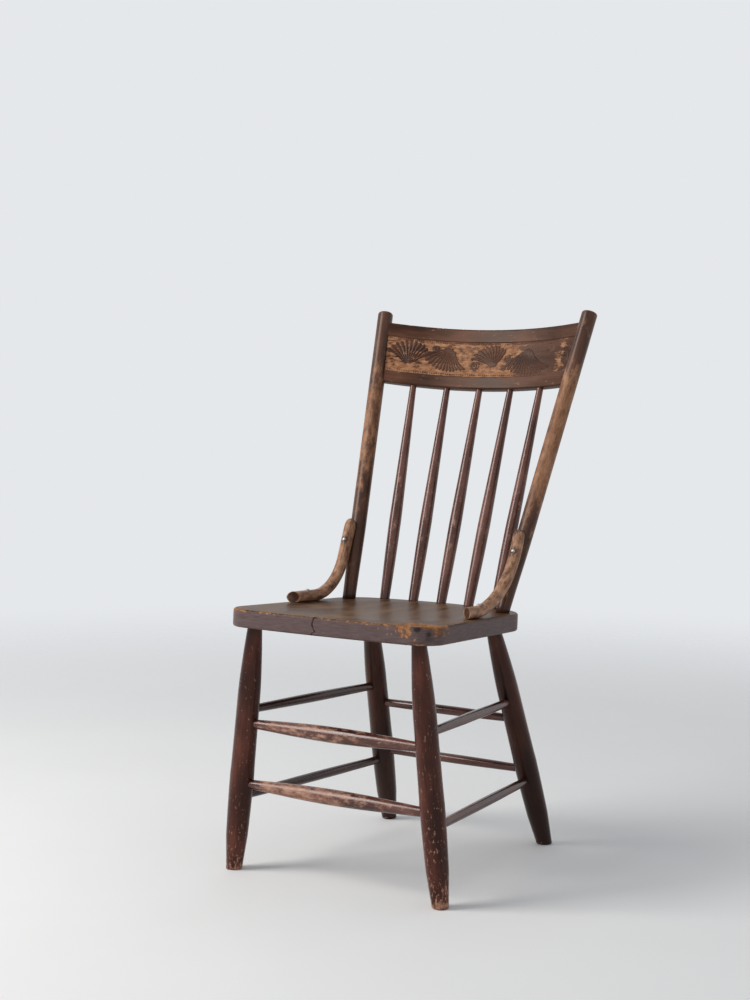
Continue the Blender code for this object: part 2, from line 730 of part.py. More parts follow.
def brace_path(hand, side):
    """Centre line of a brace: along the seat, round the bend, then up the front of the post."""
    x = side * BRACE_X
    radius = BRACE_DIAMETER / 2
    lift = radius - BRACE_BEARING_FLAT + CLEARANCE
    ahead = POST_DIAMETER / 2 + lift
    seat_way = Vector((0, math.cos(SEAT_TILT), -math.sin(SEAT_TILT)))
    post_way = Vector((0, math.sin(POST_LEAN), math.cos(POST_LEAN)))
    on_seat = seat_point(x, 0) + seat_normal() * lift
    on_post = back_point(x, 0, -ahead)
    gap = on_post - on_seat
    turn = seat_way.angle(post_way)
    run = (gap.y * post_way.z - gap.z * post_way.y) / math.sin(turn)
    corner = on_seat + seat_way * run
    front = seat_point(x, BRACE_FRONT) + seat_normal() * lift
    top = on_post + post_way * BRACE_TOP
    room = min((corner - front).length, (top - corner).length - 2 * radius)
    bend_radius = min(BEND_RADII[hand], room / math.tan(turn / 2))
    bend_start = corner - seat_way * bend_radius * math.tan(turn / 2)
    centre = bend_start + seat_normal() * bend_radius
    path = [front - seat_way * radius, lerp(front, bend_start, 0.6)]
    steps = 9
    for step in range(steps + 1):
        swing = turn * step / steps
        arm = seat_way * math.sin(swing) - seat_normal() * math.cos(swing)
        path.append(centre + arm * bend_radius)
    factors = [1.0] * len(path)
    for back, factor in ((1.6, 1.0), (0.8, 0.93), (0.30, 0.70), (0.0, 0.34)):
        path.append(top - post_way * radius * back)
        factors.append(factor)
    return path, factors


def spot_on(path, setback):
    """Point on a brace's centre line at a distance from its first end, and the way out of its face."""
    for start, end in zip(path, path[1:]):
        length = (end - start).length
        if setback <= length:
            break
        setback -= length
    way = (end - start).normalized()
    outwards = Vector((1, 0, 0)).cross(way)
    return start + way * setback, outwards


def build_brace(hand, side, seat, post, wood, steel):
    path, factors = brace_path(hand, side)
    name = f"brace_{hand}"
    radius = BRACE_DIAMETER / 2
    brace = round_rod(name, path, factors, radius, 3, part, wood)
    reach = 4 * BRACE_DIAMETER
    tilt = Matrix.Rotation(-SEAT_TILT, 4, "X")
    under = seat_point(side * BRACE_X, BRACE_FRONT / 3) + seat_normal() * (CLEARANCE - reach / 2)
    bearing_size = (reach, 2 * -BRACE_FRONT + reach, reach)
    cut(brace, block(name + "_bearing", bearing_size, Matrix.Translation(under) @ tilt, cutters))
    low = back_point(side * post_x(0), 0)
    high = back_point(side * post_x(POST_LENGTH / 2), POST_LENGTH / 2)
    cut(brace, peg(name + "_cope", POST_DIAMETER / 2 + CLEARANCE, low, high, 20))
    front = seat_point(side * BRACE_X, BRACE_FRONT) + seat_normal() * BRACE_DIAMETER
    slant = Matrix.Translation(front) @ Matrix.Rotation(side * -BRACE_END_SLANT, 4, "Z") @ tilt
    front_place = slant @ Matrix.Translation((0, -reach / 2, 0))
    cut(brace, block(name + "_front_cut", (reach, reach, reach), front_place, cutters))
    face = radius - SPOT_FACE_DEPTH
    post_spot, post_out = spot_on(path[::-1], POST_SCREW_SETBACK)
    post_out = -post_out
    head = post_spot + post_out * face
    build_screw(f"brace_post_screw_{hand}", head, -post_out, POST_SCREW_LENGTH, brace, post, steel)
    seat_spot, seat_out = spot_on(path, SEAT_SCREW_SETBACK)
    head = seat_spot + seat_out * face
    build_screw(f"brace_seat_screw_{hand}", head, -seat_out, SEAT_SCREW_LENGTH, brace, seat, steel)
    return brace


def build_screw(name, seat_at, way, length, brace, anchor, material):
    """Round-head screw through a brace into what it is fixed to; seat_at is under its head."""
    radius = SCREW_HEAD_DIAMETER / 2
    shank = SCREW_SHANK_DIAMETER / 2
    lift = CLEARANCE
    profile = [(0, length), (shank / 2, length), (shank, length - 3 * shank)]
    profile += [(shank, -lift), (radius, -lift)]
    for step in range(1, 4):
        turn = math.pi / 2 * step / 4
        profile.append((radius * math.cos(turn), -lift - SCREW_HEAD_HEIGHT * math.sin(turn)))
    profile.append((0, -lift - SCREW_HEAD_HEIGHT))
    screw = turned(name, profile, 12, aim(seat_at, seat_at + way), part, material)
    end = seat_at + way * (length + CLEARANCE)
    hole = peg(name + "_hole", shank + CLEARANCE, seat_at - way * SCREW_HEAD_HEIGHT, end, 12)
    cut(brace, hole)
    cut(anchor, hole)
    spot_radius = radius + CLEARANCE
    cut(brace, peg(name + "_spot_face", spot_radius, seat_at - way * 3 * SCREW_HEAD_HEIGHT, seat_at, 16))
    return screw


def build_chair():
    dark = mahogany_finish()
    worn = worn_oak_brown()
    seat = build_seat(olive_varnish())
    build_undercarriage(seat, dark)
    posts = [build_post(hand, side, seat, worn) for hand, side in SIDES]
    crest = build_crest(posts, worn)
    for number in range(SPINDLE_COUNT):
        build_spindle(number, seat, crest, dark)
    press_panel(crest)
    brace_wood = worn_brace_wood()
    steel = screw_steel()
    for (hand, side), post in zip(SIDES, posts):
        build_brace(hand, side, seat, post, brace_wood, steel)
    bpy.context.view_layer.update()
    for thing in part.objects:
        finish(thing)


for old in list(bpy.data.objects):
    bpy.data.objects.remove(old)
part = new_collection("kitchen_chair")
cutters = new_collection("cutters")
build_chair()
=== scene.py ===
import math

import bmesh
import bpy
from mathutils import Matrix, Vector, geometry, kdtree, noise


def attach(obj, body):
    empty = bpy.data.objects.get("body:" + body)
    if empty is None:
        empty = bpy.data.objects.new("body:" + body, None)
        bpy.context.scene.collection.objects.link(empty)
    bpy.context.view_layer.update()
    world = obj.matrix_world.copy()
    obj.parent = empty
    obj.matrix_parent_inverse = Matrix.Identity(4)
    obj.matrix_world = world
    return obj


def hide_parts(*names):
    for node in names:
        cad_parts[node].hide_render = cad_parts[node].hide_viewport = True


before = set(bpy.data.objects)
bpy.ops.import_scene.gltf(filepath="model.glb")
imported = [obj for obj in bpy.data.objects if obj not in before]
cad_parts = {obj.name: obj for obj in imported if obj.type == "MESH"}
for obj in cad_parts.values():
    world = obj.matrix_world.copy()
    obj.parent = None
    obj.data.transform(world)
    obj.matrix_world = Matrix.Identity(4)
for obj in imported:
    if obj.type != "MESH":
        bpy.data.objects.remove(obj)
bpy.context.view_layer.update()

# ---------------------------------------------------------------------------------------------
# Seat: one thick plank of wood that drops towards the back, with bowed ends and rounded corners.
# It is sawn to its outline, hollowed to a shallow dish and varnished; its front corner is worn
# through to the wood, and the front edge has opened in one winding split.
SEAT_HEIGHT = 0.4332
SEAT_TILT = math.radians(2.7)
SEAT_UP = Vector((0, math.sin(SEAT_TILT), math.cos(SEAT_TILT)))
SEAT_THICKNESS = 0.030
SEAT_FRONT = -0.2819
SEAT_REAR = 0.1200
SEAT_FRONT_WIDTH = 0.400
SEAT_REAR_WIDTH = 0.356
SEAT_FRONT_BOW = 0.0107
SEAT_REAR_BOW = 0.036
SEAT_FRONT_RADIUS = 0.044
SEAT_REAR_RADIUS = 0.045
SEAT_CORNER_FULLNESS = 0.55
SEAT_ARRIS = 0.004
# Between the rings of points that follow the plank's edge on its top
RING_GAP = 0.0022
DISH_DEPTH = 0.006
DISH_LENGTH = 0.330
DISH_WIDTH = 0.320
DISH_CENTRE = -0.085
DISH_BALL_RATIO = 10
SPLIT_X = -0.012
SPLIT_WIDTH = 0.0024
SPLIT_DEPTH = 0.014
WORN_CORNER = Vector((0.168, -0.252))
WORN_LEFT_CORNER = Vector((-0.182, -0.258))
DARK_KNOTS = (Vector((0.190, -0.262, 0.434)), Vector((0.172, -0.270, 0.4435)))


def lerp(start, end, share):
    return start + (end - start) * share


def fade(low, high, value):
    """0 at low and 1 at high, with a smooth step between."""
    share = min(max((value - low) / (high - low), 0.0), 1.0)
    return share * share * (3 - 2 * share)


def grit(point, size, stretch=(1, 1, 1)):
    """Smooth noise from about -1 to 1, with features of a size in metres, drawn out along an axis."""
    return noise.noise(Vector(value / size / factor for value, factor in zip(point, stretch)))


def seat_point(x, y, depth=0.0):
    """Point on the flat of the seat, or at a depth below it."""
    return Vector((x, y, SEAT_HEIGHT - y * math.tan(SEAT_TILT) - depth / math.cos(SEAT_TILT)))


def seat_place(x, y, fall):
    """Point in the tilted plank: its place in the outline, and how far it lies below the top."""
    over = SEAT_THICKNESS / 2 - fall
    level = SEAT_HEIGHT - SEAT_THICKNESS / 2 / math.cos(SEAT_TILT)
    return Vector((x, y * math.cos(SEAT_TILT) + over * math.sin(SEAT_TILT),
                   level - y * math.sin(SEAT_TILT) + over * math.cos(SEAT_TILT)))


def seat_depth(point):
    """How far a point lies below the flat of the seat."""
    return (seat_point(point.x, point.y).z - point.z) * math.cos(SEAT_TILT)


def seat_outline():
    """Points round the plank, anticlockwise from the middle of its front edge."""
    front_half = SEAT_FRONT_WIDTH / 2
    rear_half = SEAT_REAR_WIDTH / 2
    front_corner = Vector((front_half, SEAT_FRONT + SEAT_FRONT_BOW))
    rear_corner = Vector((rear_half, SEAT_REAR - SEAT_REAR_BOW))
    side = (rear_corner - front_corner).normalized()
    x_front = front_half - SEAT_FRONT_RADIUS
    x_rear = rear_half - SEAT_REAR_RADIUS
    front_bend = SEAT_FRONT_BOW / front_half ** 2
    rear_bend = SEAT_REAR_BOW / rear_half ** 2
    turn_in = Vector((x_front, SEAT_FRONT + front_bend * x_front ** 2))
    turn_out = front_corner + side * SEAT_FRONT_RADIUS
    back_in = rear_corner - side * SEAT_REAR_RADIUS
    back_out = Vector((x_rear, SEAT_REAR - rear_bend * x_rear ** 2))
    front_pull = SEAT_CORNER_FULLNESS * SEAT_FRONT_RADIUS
    rear_pull = SEAT_CORNER_FULLNESS * SEAT_REAR_RADIUS
    front_way = Vector((1, 2 * front_bend * x_front)).normalized()
    rear_way = Vector((-1, 2 * rear_bend * x_rear)).normalized()
    front_places = [x_front * step / 60 for step in range(60)]
    rear_places = [x_rear * (1 - step / 50) for step in range(51)]
    half = [Vector((x, SEAT_FRONT + front_bend * x ** 2)) for x in front_places]
    half += geometry.interpolate_bezier(
        turn_in, turn_in + front_way * front_pull, turn_out - side * front_pull, turn_out, 33)[:-1]
    half += [turn_out.lerp(back_in, step / 70) for step in range(70)]
    half += geometry.interpolate_bezier(
        back_in, back_in + side * rear_pull, back_out - rear_way * rear_pull, back_out, 27)[:-1]
    half += [Vector((x, SEAT_REAR - rear_bend * x ** 2)) for x in rear_places]
    half = [Vector(point[:2]) for point in half]
    return half + [Vector((-point.x, point.y)) for point in reversed(half[1:-1])]


def dish(x, y):
    """Depth of the hollow for the sitter, the cap of a flattened ball."""
    height = DISH_BALL_RATIO * DISH_DEPTH
    rise = height - DISH_DEPTH
    spread = math.sqrt(1 - (rise / height) ** 2)
    inside = 1 - (2 * x * spread / DISH_WIDTH) ** 2 - (2 * (y - DISH_CENTRE) * spread / DISH_LENGTH) ** 2
    return max(0.0, height * math.sqrt(max(inside, 0.0)) - rise)


def seat_stations():
    """Rings of the plank from the middle of its underside, round the edge, to the middle of its top.
    Each is the share of the way to the middle, the inset from the edge and the depth below the top."""
    rings = [(share, SEAT_ARRIS, SEAT_THICKNESS) for share in (0.96, 0.7, 0.4, 0.2, 0.08, 0.02)]
    for step in range(6):
        turn = math.pi / 2 * step / 5
        inset = SEAT_ARRIS * (1 - math.sin(turn))
        rings.append((0.0, inset, SEAT_THICKNESS - SEAT_ARRIS * (1 - math.cos(turn))))
    flat = SEAT_THICKNESS - 2 * SEAT_ARRIS
    rings += [(0.0, 0.0, SEAT_ARRIS + flat * (1 - step / 9)) for step in range(1, 9)]
    for step in range(7):
        turn = math.pi / 2 * step / 6
        rings.append((0.0, SEAT_ARRIS * (1 - math.cos(turn)), SEAT_ARRIS * (1 - math.sin(turn))))
    rings += [(0.0, SEAT_ARRIS + RING_GAP * step, 0.0) for step in range(1, 13)]
    inward = (0.05, 0.10, 0.16, 0.22, 0.28, 0.34, 0.40, 0.46, 0.52, 0.58, 0.64, 0.70, 0.76, 0.82, 0.88, 0.93,
              0.97, 0.99)
    rings += [(share, SEAT_ARRIS + RING_GAP * 12, 0.0) for share in inward]
    return rings


def chip_depth(point, depth):
    """How far the worn front corner and edge have lost wood, in metres."""
    near = math.exp(-((point - WORN_CORNER).length / 0.050) ** 2)
    front = fade(-0.225, -0.262, point.y)
    spot = (point.x, point.y, depth)
    rough = 0.5 + 0.5 * grit(spot, 0.009) + 0.3 * grit(spot, 0.003)
    return (0.0013 * near + 0.0004 * front) * max(rough, 0.0) * (1 - fade(0.002, 0.010, depth))


def numbered_ring(shape, count, capped):
    """Begin a shape with a ring whose points keep their numbers: its edges, and the numbers' layer."""
    place = shape.verts.layers.int.new("place")
    bmesh.ops.create_circle(shape, cap_ends=capped, segments=count, radius=1.0)
    shape.verts.ensure_lookup_table()
    for index, vertex in enumerate(shape.verts):
        vertex[place] = index
    return list(shape.edges), place


def extrude_ring(shape, ring):
    """Extrude an open ring of edges: the new ring's edges."""
    made = bmesh.ops.extrude_edge_only(shape, edges=ring)["geom"]
    return [part for part in made if isinstance(part, bmesh.types.BMEdge) and len(part.link_faces) == 1]


def ring_corners(ring):
    return {vertex for edge in ring for vertex in edge.verts}


def seat_shape():
    outline = seat_outline()
    count = len(outline)
    inward = []
    for index, point in enumerate(outline):
        way = outline[(index + 1) % count] - outline[index - 1]
        inward.append(Vector((-way.y, way.x)).normalized())
    middle = Vector((0, DISH_CENTRE))
    shape = bmesh.new()
    ring, place = numbered_ring(shape, count, False)
    rings = seat_stations()
    for number, (share, inset, depth) in enumerate(rings):
        if number:
            ring = extrude_ring(shape, ring)
        corners = ring_corners(ring)
        for vertex in corners:
            index = vertex[place]
            edge_point = outline[index] + inward[index] * inset
            flat = edge_point.lerp(middle, share)
            lost = chip_depth(flat, depth)
            if inset <= SEAT_ARRIS:
                flat = flat + inward[index] * lost
            fall = depth + dish(flat.x, flat.y) * (depth == 0.0) + lost
            vertex.co = seat_place(flat.x, flat.y, fall)
        if number in (0, len(rings) - 1):
            centre = sum((vertex.co for vertex in corners), Vector()) / count
            pole = bmesh.ops.create_vert(shape, co=centre)["vert"][0]
            for edge in ring:
                shape.faces.new((edge.verts[0], edge.verts[1], pole))
    bmesh.ops.recalc_face_normals(shape, faces=shape.faces)
    return shape


def store(mesh, name, kind, values):
    """Keep one value or one vector at every corner point of a mesh, for its material to read."""
    layer = mesh.attributes.new(name, kind, "POINT")
    if kind == "FLOAT":
        layer.data.foreach_set("value", values)
    else:
        layer.data.foreach_set("vector", [number for vector in values for number in vector])


def to_object(name, shape):
    """Object in the scene that takes over a finished shape."""
    mesh = bpy.data.meshes.new(name)
    shape.to_mesh(mesh)
    shape.free()
    thing = bpy.data.objects.new(name, mesh)
    bpy.context.scene.collection.objects.link(thing)
    return thing


def make_piece(name, shape, grain, wear, material, finish_slot, *nodes):
    """Make a piece of its shape in place of its solids: grain gives each point's place in the plank
    or rod, with Z along the wood, and wear is 1 on bare wood, 0 on sound finish and -1 at its darkest,
    in dark knots, splits and joints and where shade is painted."""
    for face in shape.faces:
        face.smooth = True
    piece = to_object(name, shape)
    points = [vertex.co.copy() for vertex in piece.data.vertices]
    store(piece.data, "grain", "FLOAT_VECTOR", [grain(point) for point in points])
    store(piece.data, "wear", "FLOAT", [min(max(wear(point), -1.0), 1.0) for point in points])
    piece.data.materials.append(material)
    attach(piece, "root")
    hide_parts(*nodes)
    return piece


def add_node(tree, kind, inputs=None, **settings):
    made = tree.nodes.new(kind)
    for name, value in settings.items():
        setattr(made, name, value)
    for name, value in (inputs or {}).items():
        if isinstance(value, bpy.types.NodeSocket):
            tree.links.new(value, made.inputs[name])
        else:
            made.inputs[name].default_value = value
    return made


def maths(tree, operation, first, second, third=0.0):
    return add_node(tree, "ShaderNodeMath", {0: first, 1: second, 2: third}, operation=operation).outputs[0]


def pattern(tree, place, stretch, scale, detail=4.0, roughness=0.55):
    """Noise drawn out along an axis, by a scale for each direction."""
    drawn = add_node(tree, "ShaderNodeMapping", {"Vector": place, "Scale": stretch}).outputs[0]
    inputs = {"Vector": drawn, "Scale": scale, "Detail": detail, "Roughness": roughness}
    return add_node(tree, "ShaderNodeTexNoise", inputs).outputs[0]


def colours(tree, factor, *stops):
    """Colour ramp of (place, colour) stops."""
    made = add_node(tree, "ShaderNodeValToRGB", {"Fac": factor})
    ramp = made.color_ramp
    while len(ramp.elements) < len(stops):
        ramp.elements.new(0.5)
    for element, (position, colour) in zip(ramp.elements, stops):
        element.position = position
        element.color = (*colour, 1.0)
    return made.outputs[0]


def blend_colours(tree, factor, first, second):
    """First colour where the factor is 0 and second where it is 1."""
    made = add_node(tree, "ShaderNodeMix", data_type="RGBA")
    for socket, value in ((0, factor), (6, first), (7, second)):
        if isinstance(value, bpy.types.NodeSocket):
            tree.links.new(value, made.inputs[socket])
        else:
            made.inputs[socket].default_value = value
    return made.outputs[2]


def steps(tree, value, low, high):
    """0 below low and 1 above high, smooth between."""
    inputs = {"Value": value, "From Min": low, "From Max": high}
    return add_node(tree, "ShaderNodeMapRange", inputs, interpolation_type="SMOOTHSTEP").outputs[0]


def new_finish(name):
    """Plain material, its node tree and its shader."""
    material = bpy.data.materials.new(name)
    material.use_nodes = True
    return material, material.node_tree, material.node_tree.nodes["Principled BSDF"]


def worn_wood(name, film, bare, film_roughness, chip_scale, softness, flecking, sheen, tint, edge_film_and_sheen=None):
    """Old stained finish over wood: streaks along the grain, chips and rubbed places down to the
    bare wood where the piece's wear says so, and darkening towards near black where it is below zero,
    for dark knots, splits and joints, and as painted shade on the rear legs and side stretchers. A small
    softness gives hard chips and a large one gives mottled rubbing; flecking is how many small flecks
    show. The edge film colours give a sawn edge its own colour, lightened with a painted sheen."""
    material, tree, shader = new_finish(name)
    shader.inputs["Specular IOR Level"].default_value = sheen
    shader.inputs["Specular Tint"].default_value = tint
    grain = add_node(tree, "ShaderNodeAttribute", attribute_name="grain").outputs["Vector"]
    wear = add_node(tree, "ShaderNodeAttribute", attribute_name="wear").outputs["Fac"]
    streak = pattern(tree, grain, (1, 1, 0.045), 420.0, 5.0, 0.62)
    pore = pattern(tree, grain, (1, 1, 0.030), 1500.0, 2.0, 0.5)
    tone = pattern(tree, grain, (1, 1, 0.30), 38.0, 3.0, 0.5)
    chip = pattern(tree, grain, (1, 1, 0.50), chip_scale, 8.0, 0.66)
    fleck = pattern(tree, grain, (1, 1, 0.60), 520.0, 3.0, 0.6)
    film_tone = maths(tree, "MULTIPLY_ADD", streak, 0.28, maths(tree, "MULTIPLY", tone, 0.72))
    film_colour = colours(tree, film_tone, (0.36, film[0]), (0.50, film[1]), (0.66, film[2]))
    # The sawn edge's own colour, lightened to paint the sheen of the light on it.
    if edge_film_and_sheen:
        rim = add_node(tree, "ShaderNodeAttribute", attribute_name="rim").outputs["Fac"]
        place = add_node(tree, "ShaderNodeTexCoord").outputs["Object"]
        layers = pattern(tree, place, (0.07, 0.07, 1), 760.0, 3.0, 0.5)
        rim_colour_and_sheen = colours(tree, layers, (0.30, edge_film_and_sheen[0]), (0.50, edge_film_and_sheen[1]), (0.70, edge_film_and_sheen[2]))
        film_colour = blend_colours(tree, rim, film_colour, rim_colour_and_sheen)
    bare_tone = maths(tree, "MULTIPLY_ADD", pore, 0.35, maths(tree, "MULTIPLY", chip, 0.65))
    bare_colour = colours(tree, bare_tone, (0.38, bare[0]), (0.50, bare[1]), (0.62, bare[2]))
    worn = maths(tree, "MULTIPLY_ADD", maths(tree, "SUBTRACT", chip, 0.5), 2.1, wear)
    worn = maths(tree, "MULTIPLY_ADD", maths(tree, "SUBTRACT", streak, 0.5), 0.45, worn)
    rubbed = steps(tree, worn, 0.43 - softness, 0.43 + softness)
    flecks = maths(tree, "MULTIPLY_ADD", maths(tree, "SUBTRACT", fleck, 0.5), 2.6, worn)
    flecked = steps(tree, flecks, 1.02 - flecking, 1.20 - flecking)
    bareness = maths(tree, "MAXIMUM", rubbed, flecked)
    surface = blend_colours(tree, bareness, film_colour, bare_colour)
    # Below zero the colour darkens towards near black: real dark knots, splits and joints, and painted shade
    # on the rear legs and side stretchers.
    soil_and_shade = maths(tree, "MULTIPLY", steps(tree, maths(tree, "MULTIPLY", wear, -1.0), 0.0, 1.0), 0.75)
    surface = blend_colours(tree, soil_and_shade, surface, (0.012, 0.007, 0.005, 1.0))
    tree.links.new(surface, shader.inputs["Base Color"])
    gloss = maths(tree, "MULTIPLY_ADD", tone, 0.20, film_roughness - 0.10)
    dull = maths(tree, "MULTIPLY_ADD", bareness, 0.22, gloss)
    tree.links.new(dull, shader.inputs["Roughness"])
    relief = maths(tree, "MULTIPLY_ADD", streak, 0.30, maths(tree, "MULTIPLY", pore, 0.15))
    relief = maths(tree, "MULTIPLY_ADD", bareness, -0.30, relief)
    bump = add_node(tree, "ShaderNodeBump", {"Height": relief, "Strength": 0.30, "Distance": 0.0005})
    tree.links.new(bump.outputs[0], shader.inputs["Normal"])
    return material


def seat_wear(point):
    """Worn on its upper edge, most of all at the right front corner; dark in the split and at the knots."""
    flat = Vector(point[:2])
    depth = seat_depth(point)
    inset = seat_inset(flat)
    arris = fade(0.0060, 0.0005, abs(depth)) * fade(0.0065, 0.0015, inset)
    front = fade(-0.225, -0.270, flat.y)
    away = flat - WORN_CORNER
    corner = math.exp(-(away.x / 0.050) ** 2 - (away.y / 0.034) ** 2)
    jag = 0.5 + 0.5 * grit(point, 0.011)
    edge = corner * fade(0.010 + 0.028 * jag, 0.006 + 0.012 * jag, depth)
    left = math.exp(-((flat - WORN_LEFT_CORNER).length / 0.020) ** 2) * fade(0.012, 0.0, depth)
    lower = fade(0.024, 0.029, depth) * math.exp(-((flat - WORN_CORNER).length / 0.055) ** 2)
    knot = max(math.exp(-((point - knot).length / 0.008) ** 2) for knot in DARK_KNOTS)
    under = fade(0.0285, 0.0300, depth) * 0.3
    behind = flat.y - (SEAT_THICKNESS / 2 - depth) * math.sin(SEAT_TILT) - SEAT_FRONT * math.cos(SEAT_TILT)
    crack = math.exp(-((flat.x - SPLIT_X) / 0.006) ** 2)
    crack *= fade(0.0004, 0.0010, behind) * fade(0.018, 0.014, behind)
    crack *= fade(0.0008, 0.0015, depth) * fade(0.0292, 0.0285, depth)
    worn = 0.12 * arris + 0.30 * arris * front + 0.86 * edge + 0.34 * left + 0.6 * lower
    return worn - 2.2 * knot - under - 2.0 * crack


def seat_inset(flat):
    """Distance from a point on the plank to its outline."""
    return outline_tree.find((flat.x, flat.y, 0))[2]


outline_line = seat_outline()
outline_tree = kdtree.KDTree(4 * len(outline_line))
for number, (low, high) in enumerate(zip(outline_line, outline_line[1:] + outline_line[:1])):
    for step in range(4):
        outline_tree.insert((*low.lerp(high, step / 4), 0), 4 * number + step)
outline_tree.balance()


def outline_piece(name, outline, thickness, placement):
    """Closed slab of an outline, to cut another shape with."""
    shape = bmesh.new()
    corners = [shape.verts.new((*point, -thickness / 2)) for point in outline]
    face = shape.faces.new(corners)
    made = bmesh.ops.extrude_face_region(shape, geom=[face])["geom"]
    top = [part for part in made if isinstance(part, bmesh.types.BMVert)]
    bmesh.ops.translate(shape, verts=top, vec=(0, 0, thickness))
    bmesh.ops.recalc_face_normals(shape, faces=shape.faces)
    bmesh.ops.transform(shape, matrix=placement, verts=shape.verts)
    return to_object(name, shape)


def cut_away(shape, cutter):
    """Shape less a cutter, as a bmesh, with the cutter removed."""
    blank = to_object("blank", shape)
    step = blank.modifiers.new("cut", "BOOLEAN")
    step.object = cutter
    step.solver = "EXACT"
    graph = bpy.context.evaluated_depsgraph_get()
    result = bmesh.new()
    result.from_mesh(blank.evaluated_get(graph).to_mesh())
    for thing in (blank, cutter):
        bpy.data.objects.remove(thing)
    return result


seat_blank = seat_shape()
split_path = [(0.001, 0.004), (0, 0), (-0.0012, -0.004), (-0.0035, -0.0105), (-0.0032, -0.014),
              (-0.0004, -0.0195), (0.0022, -0.0234), (-0.0022, -0.0252), (-0.0035, -0.0264),
              (-0.0030, -0.034)]
split_halves = [SPLIT_WIDTH / 2 * width for width in (1.5, 1.5, 1.0, 1.2, 1.3, 0.8, 1.4, 1.0, 0.8, 0.8)]
split_outline = [(x + half, z) for (x, z), half in zip(split_path, split_halves)]
split_outline += [(x - half, z) for (x, z), half in zip(split_path[::-1], split_halves[::-1])]
split_turn = Matrix.Rotation(math.pi / 2 - SEAT_TILT, 4, "X")
split_place = Matrix.Translation(seat_point(SPLIT_X, SEAT_FRONT)) @ split_turn
seat_blank = cut_away(seat_blank, outline_piece("split", split_outline, 2 * SPLIT_DEPTH, split_place))

seat_finish = worn_wood(
    "olive_brown_varnish",
    film=((0.050, 0.022, 0.010), (0.110, 0.058, 0.030), (0.185, 0.108, 0.060)),
    bare=((0.120, 0.046, 0.018), (0.285, 0.122, 0.050), (0.490, 0.245, 0.115)),
    film_roughness=0.38, chip_scale=150.0, softness=0.14, flecking=0.30,
    sheen=0.06, tint=(1.0, 0.80, 0.66, 1.0),
    # The sawn edge keeps its own purple-brown, lightened to paint the sheen of the light along it.
    edge_film_and_sheen=((0.108, 0.074, 0.070), (0.134, 0.094, 0.093), (0.162, 0.118, 0.120)))


def seat_rim(point):
    """1 on the sawn edge of the plank and 0 on its faces and in its dish."""
    depth = seat_depth(point)
    edge = fade(0.010, 0.005, seat_inset(Vector(point[:2])))
    return edge * fade(0.001, 0.0035, depth) * fade(0.0295, 0.0275, depth)


seat = make_piece("seat_plank", seat_blank, lambda point: (point.x, point.z, point.y), seat_wear,
                  seat_finish, "seat_top_finish", "seat")
store(seat.data, "rim", "FLOAT", [seat_rim(vertex.co) for vertex in seat.data.vertices])

# ---------------------------------------------------------------------------------------------
# Legs: four splayed legs turned from hardwood, slim at the neck where they enter the seat and
# fullest below the middle. They stand level on worn feet, and keep most of their dark red stain;
# the rear pair are painted darker as shade.
FRONT_FOOT = (0.200, -0.2345)
FRONT_LEG_TOP = (0.157, -0.2385)
REAR_FOOT = (0.162, 0.2045)
REAR_LEG_TOP = (0.124, 0.0675)
LEG_STATIONS = ((0.0, 0.0268), (0.14, 0.0366), (0.40, 0.0406), (0.72, 0.0376), (1.0, 0.0240))
LEG_SWELL = (1.0, 0.6, 0.5, 1.5)
LEG_SIDES = 56
LEG_DENT = 0.0004
# Length of a leg made below the floor and cut off, and of a rod's end that is hidden in its hole
LEG_SPARE = 0.014
ROD_STUB = 0.006
FOOT_ROUNDING = 0.0022


def leg_axis(foot, top, side, height):
    """Point on a leg's axis at a height above the floor."""
    start = Vector((side * foot[0], foot[1], 0))
    end = seat_point(side * top[0], top[1], SEAT_THICKNESS)
    return start + (end - start) * (height / end.z)


def aim(start, end):
    """Placement with its origin at the start and +Z towards the end."""
    turn = (end - start).to_track_quat("Z", "Y").to_matrix().to_4x4()
    return Matrix.Translation(start) @ turn


def turn_rod(profile, sides, placement):
    """Body spun from (radius, height) points round the local Z axis, closed at its poles."""
    shape = bmesh.new()
    line = [shape.verts.new((radius, 0, height)) for radius, height in profile]
    for low, high in zip(line, line[1:]):
        shape.edges.new((low, high))
    bmesh.ops.spin(shape, geom=shape.verts[:] + shape.edges[:], axis=(0, 0, 1), cent=(0, 0, 0),
                   steps=sides, angle=2 * math.pi, use_merge=True)
    bmesh.ops.remove_doubles(shape, verts=shape.verts, dist=0.000002)
    bmesh.ops.recalc_face_normals(shape, faces=shape.faces)
    bmesh.ops.transform(shape, matrix=placement, verts=shape.verts)
    return shape


def wood_grain(placement, number):
    """Places within a rod, with Z along it, taken from its own part of the timber."""
    back = placement.inverted()
    shift = Vector((0.31, 0.17, 0.53)) * (number + 1)
    return lambda point: back @ point + shift


def cut_flat(shape, place, outward, rounding, segments):
    """Cut off a shape at a plane, close it with one face and round over that face's edge."""
    everything = shape.verts[:] + shape.edges[:] + shape.faces[:]
    line = bmesh.ops.bisect_plane(shape, geom=everything, dist=0.000001, plane_co=place, plane_no=outward,
                                  clear_outer=True)["geom_cut"]
    rim = [part for part in line if isinstance(part, bmesh.types.BMEdge)]
    end = bmesh.ops.edgeloop_fill(shape, edges=rim)["faces"]
    bmesh.ops.bevel(shape, geom=[edge for face in end for edge in face.edges], offset=rounding,
                    offset_type="OFFSET", affect="EDGES", segments=segments, profile=0.5, material=-1)
    bmesh.ops.recalc_face_normals(shape, faces=shape.faces)


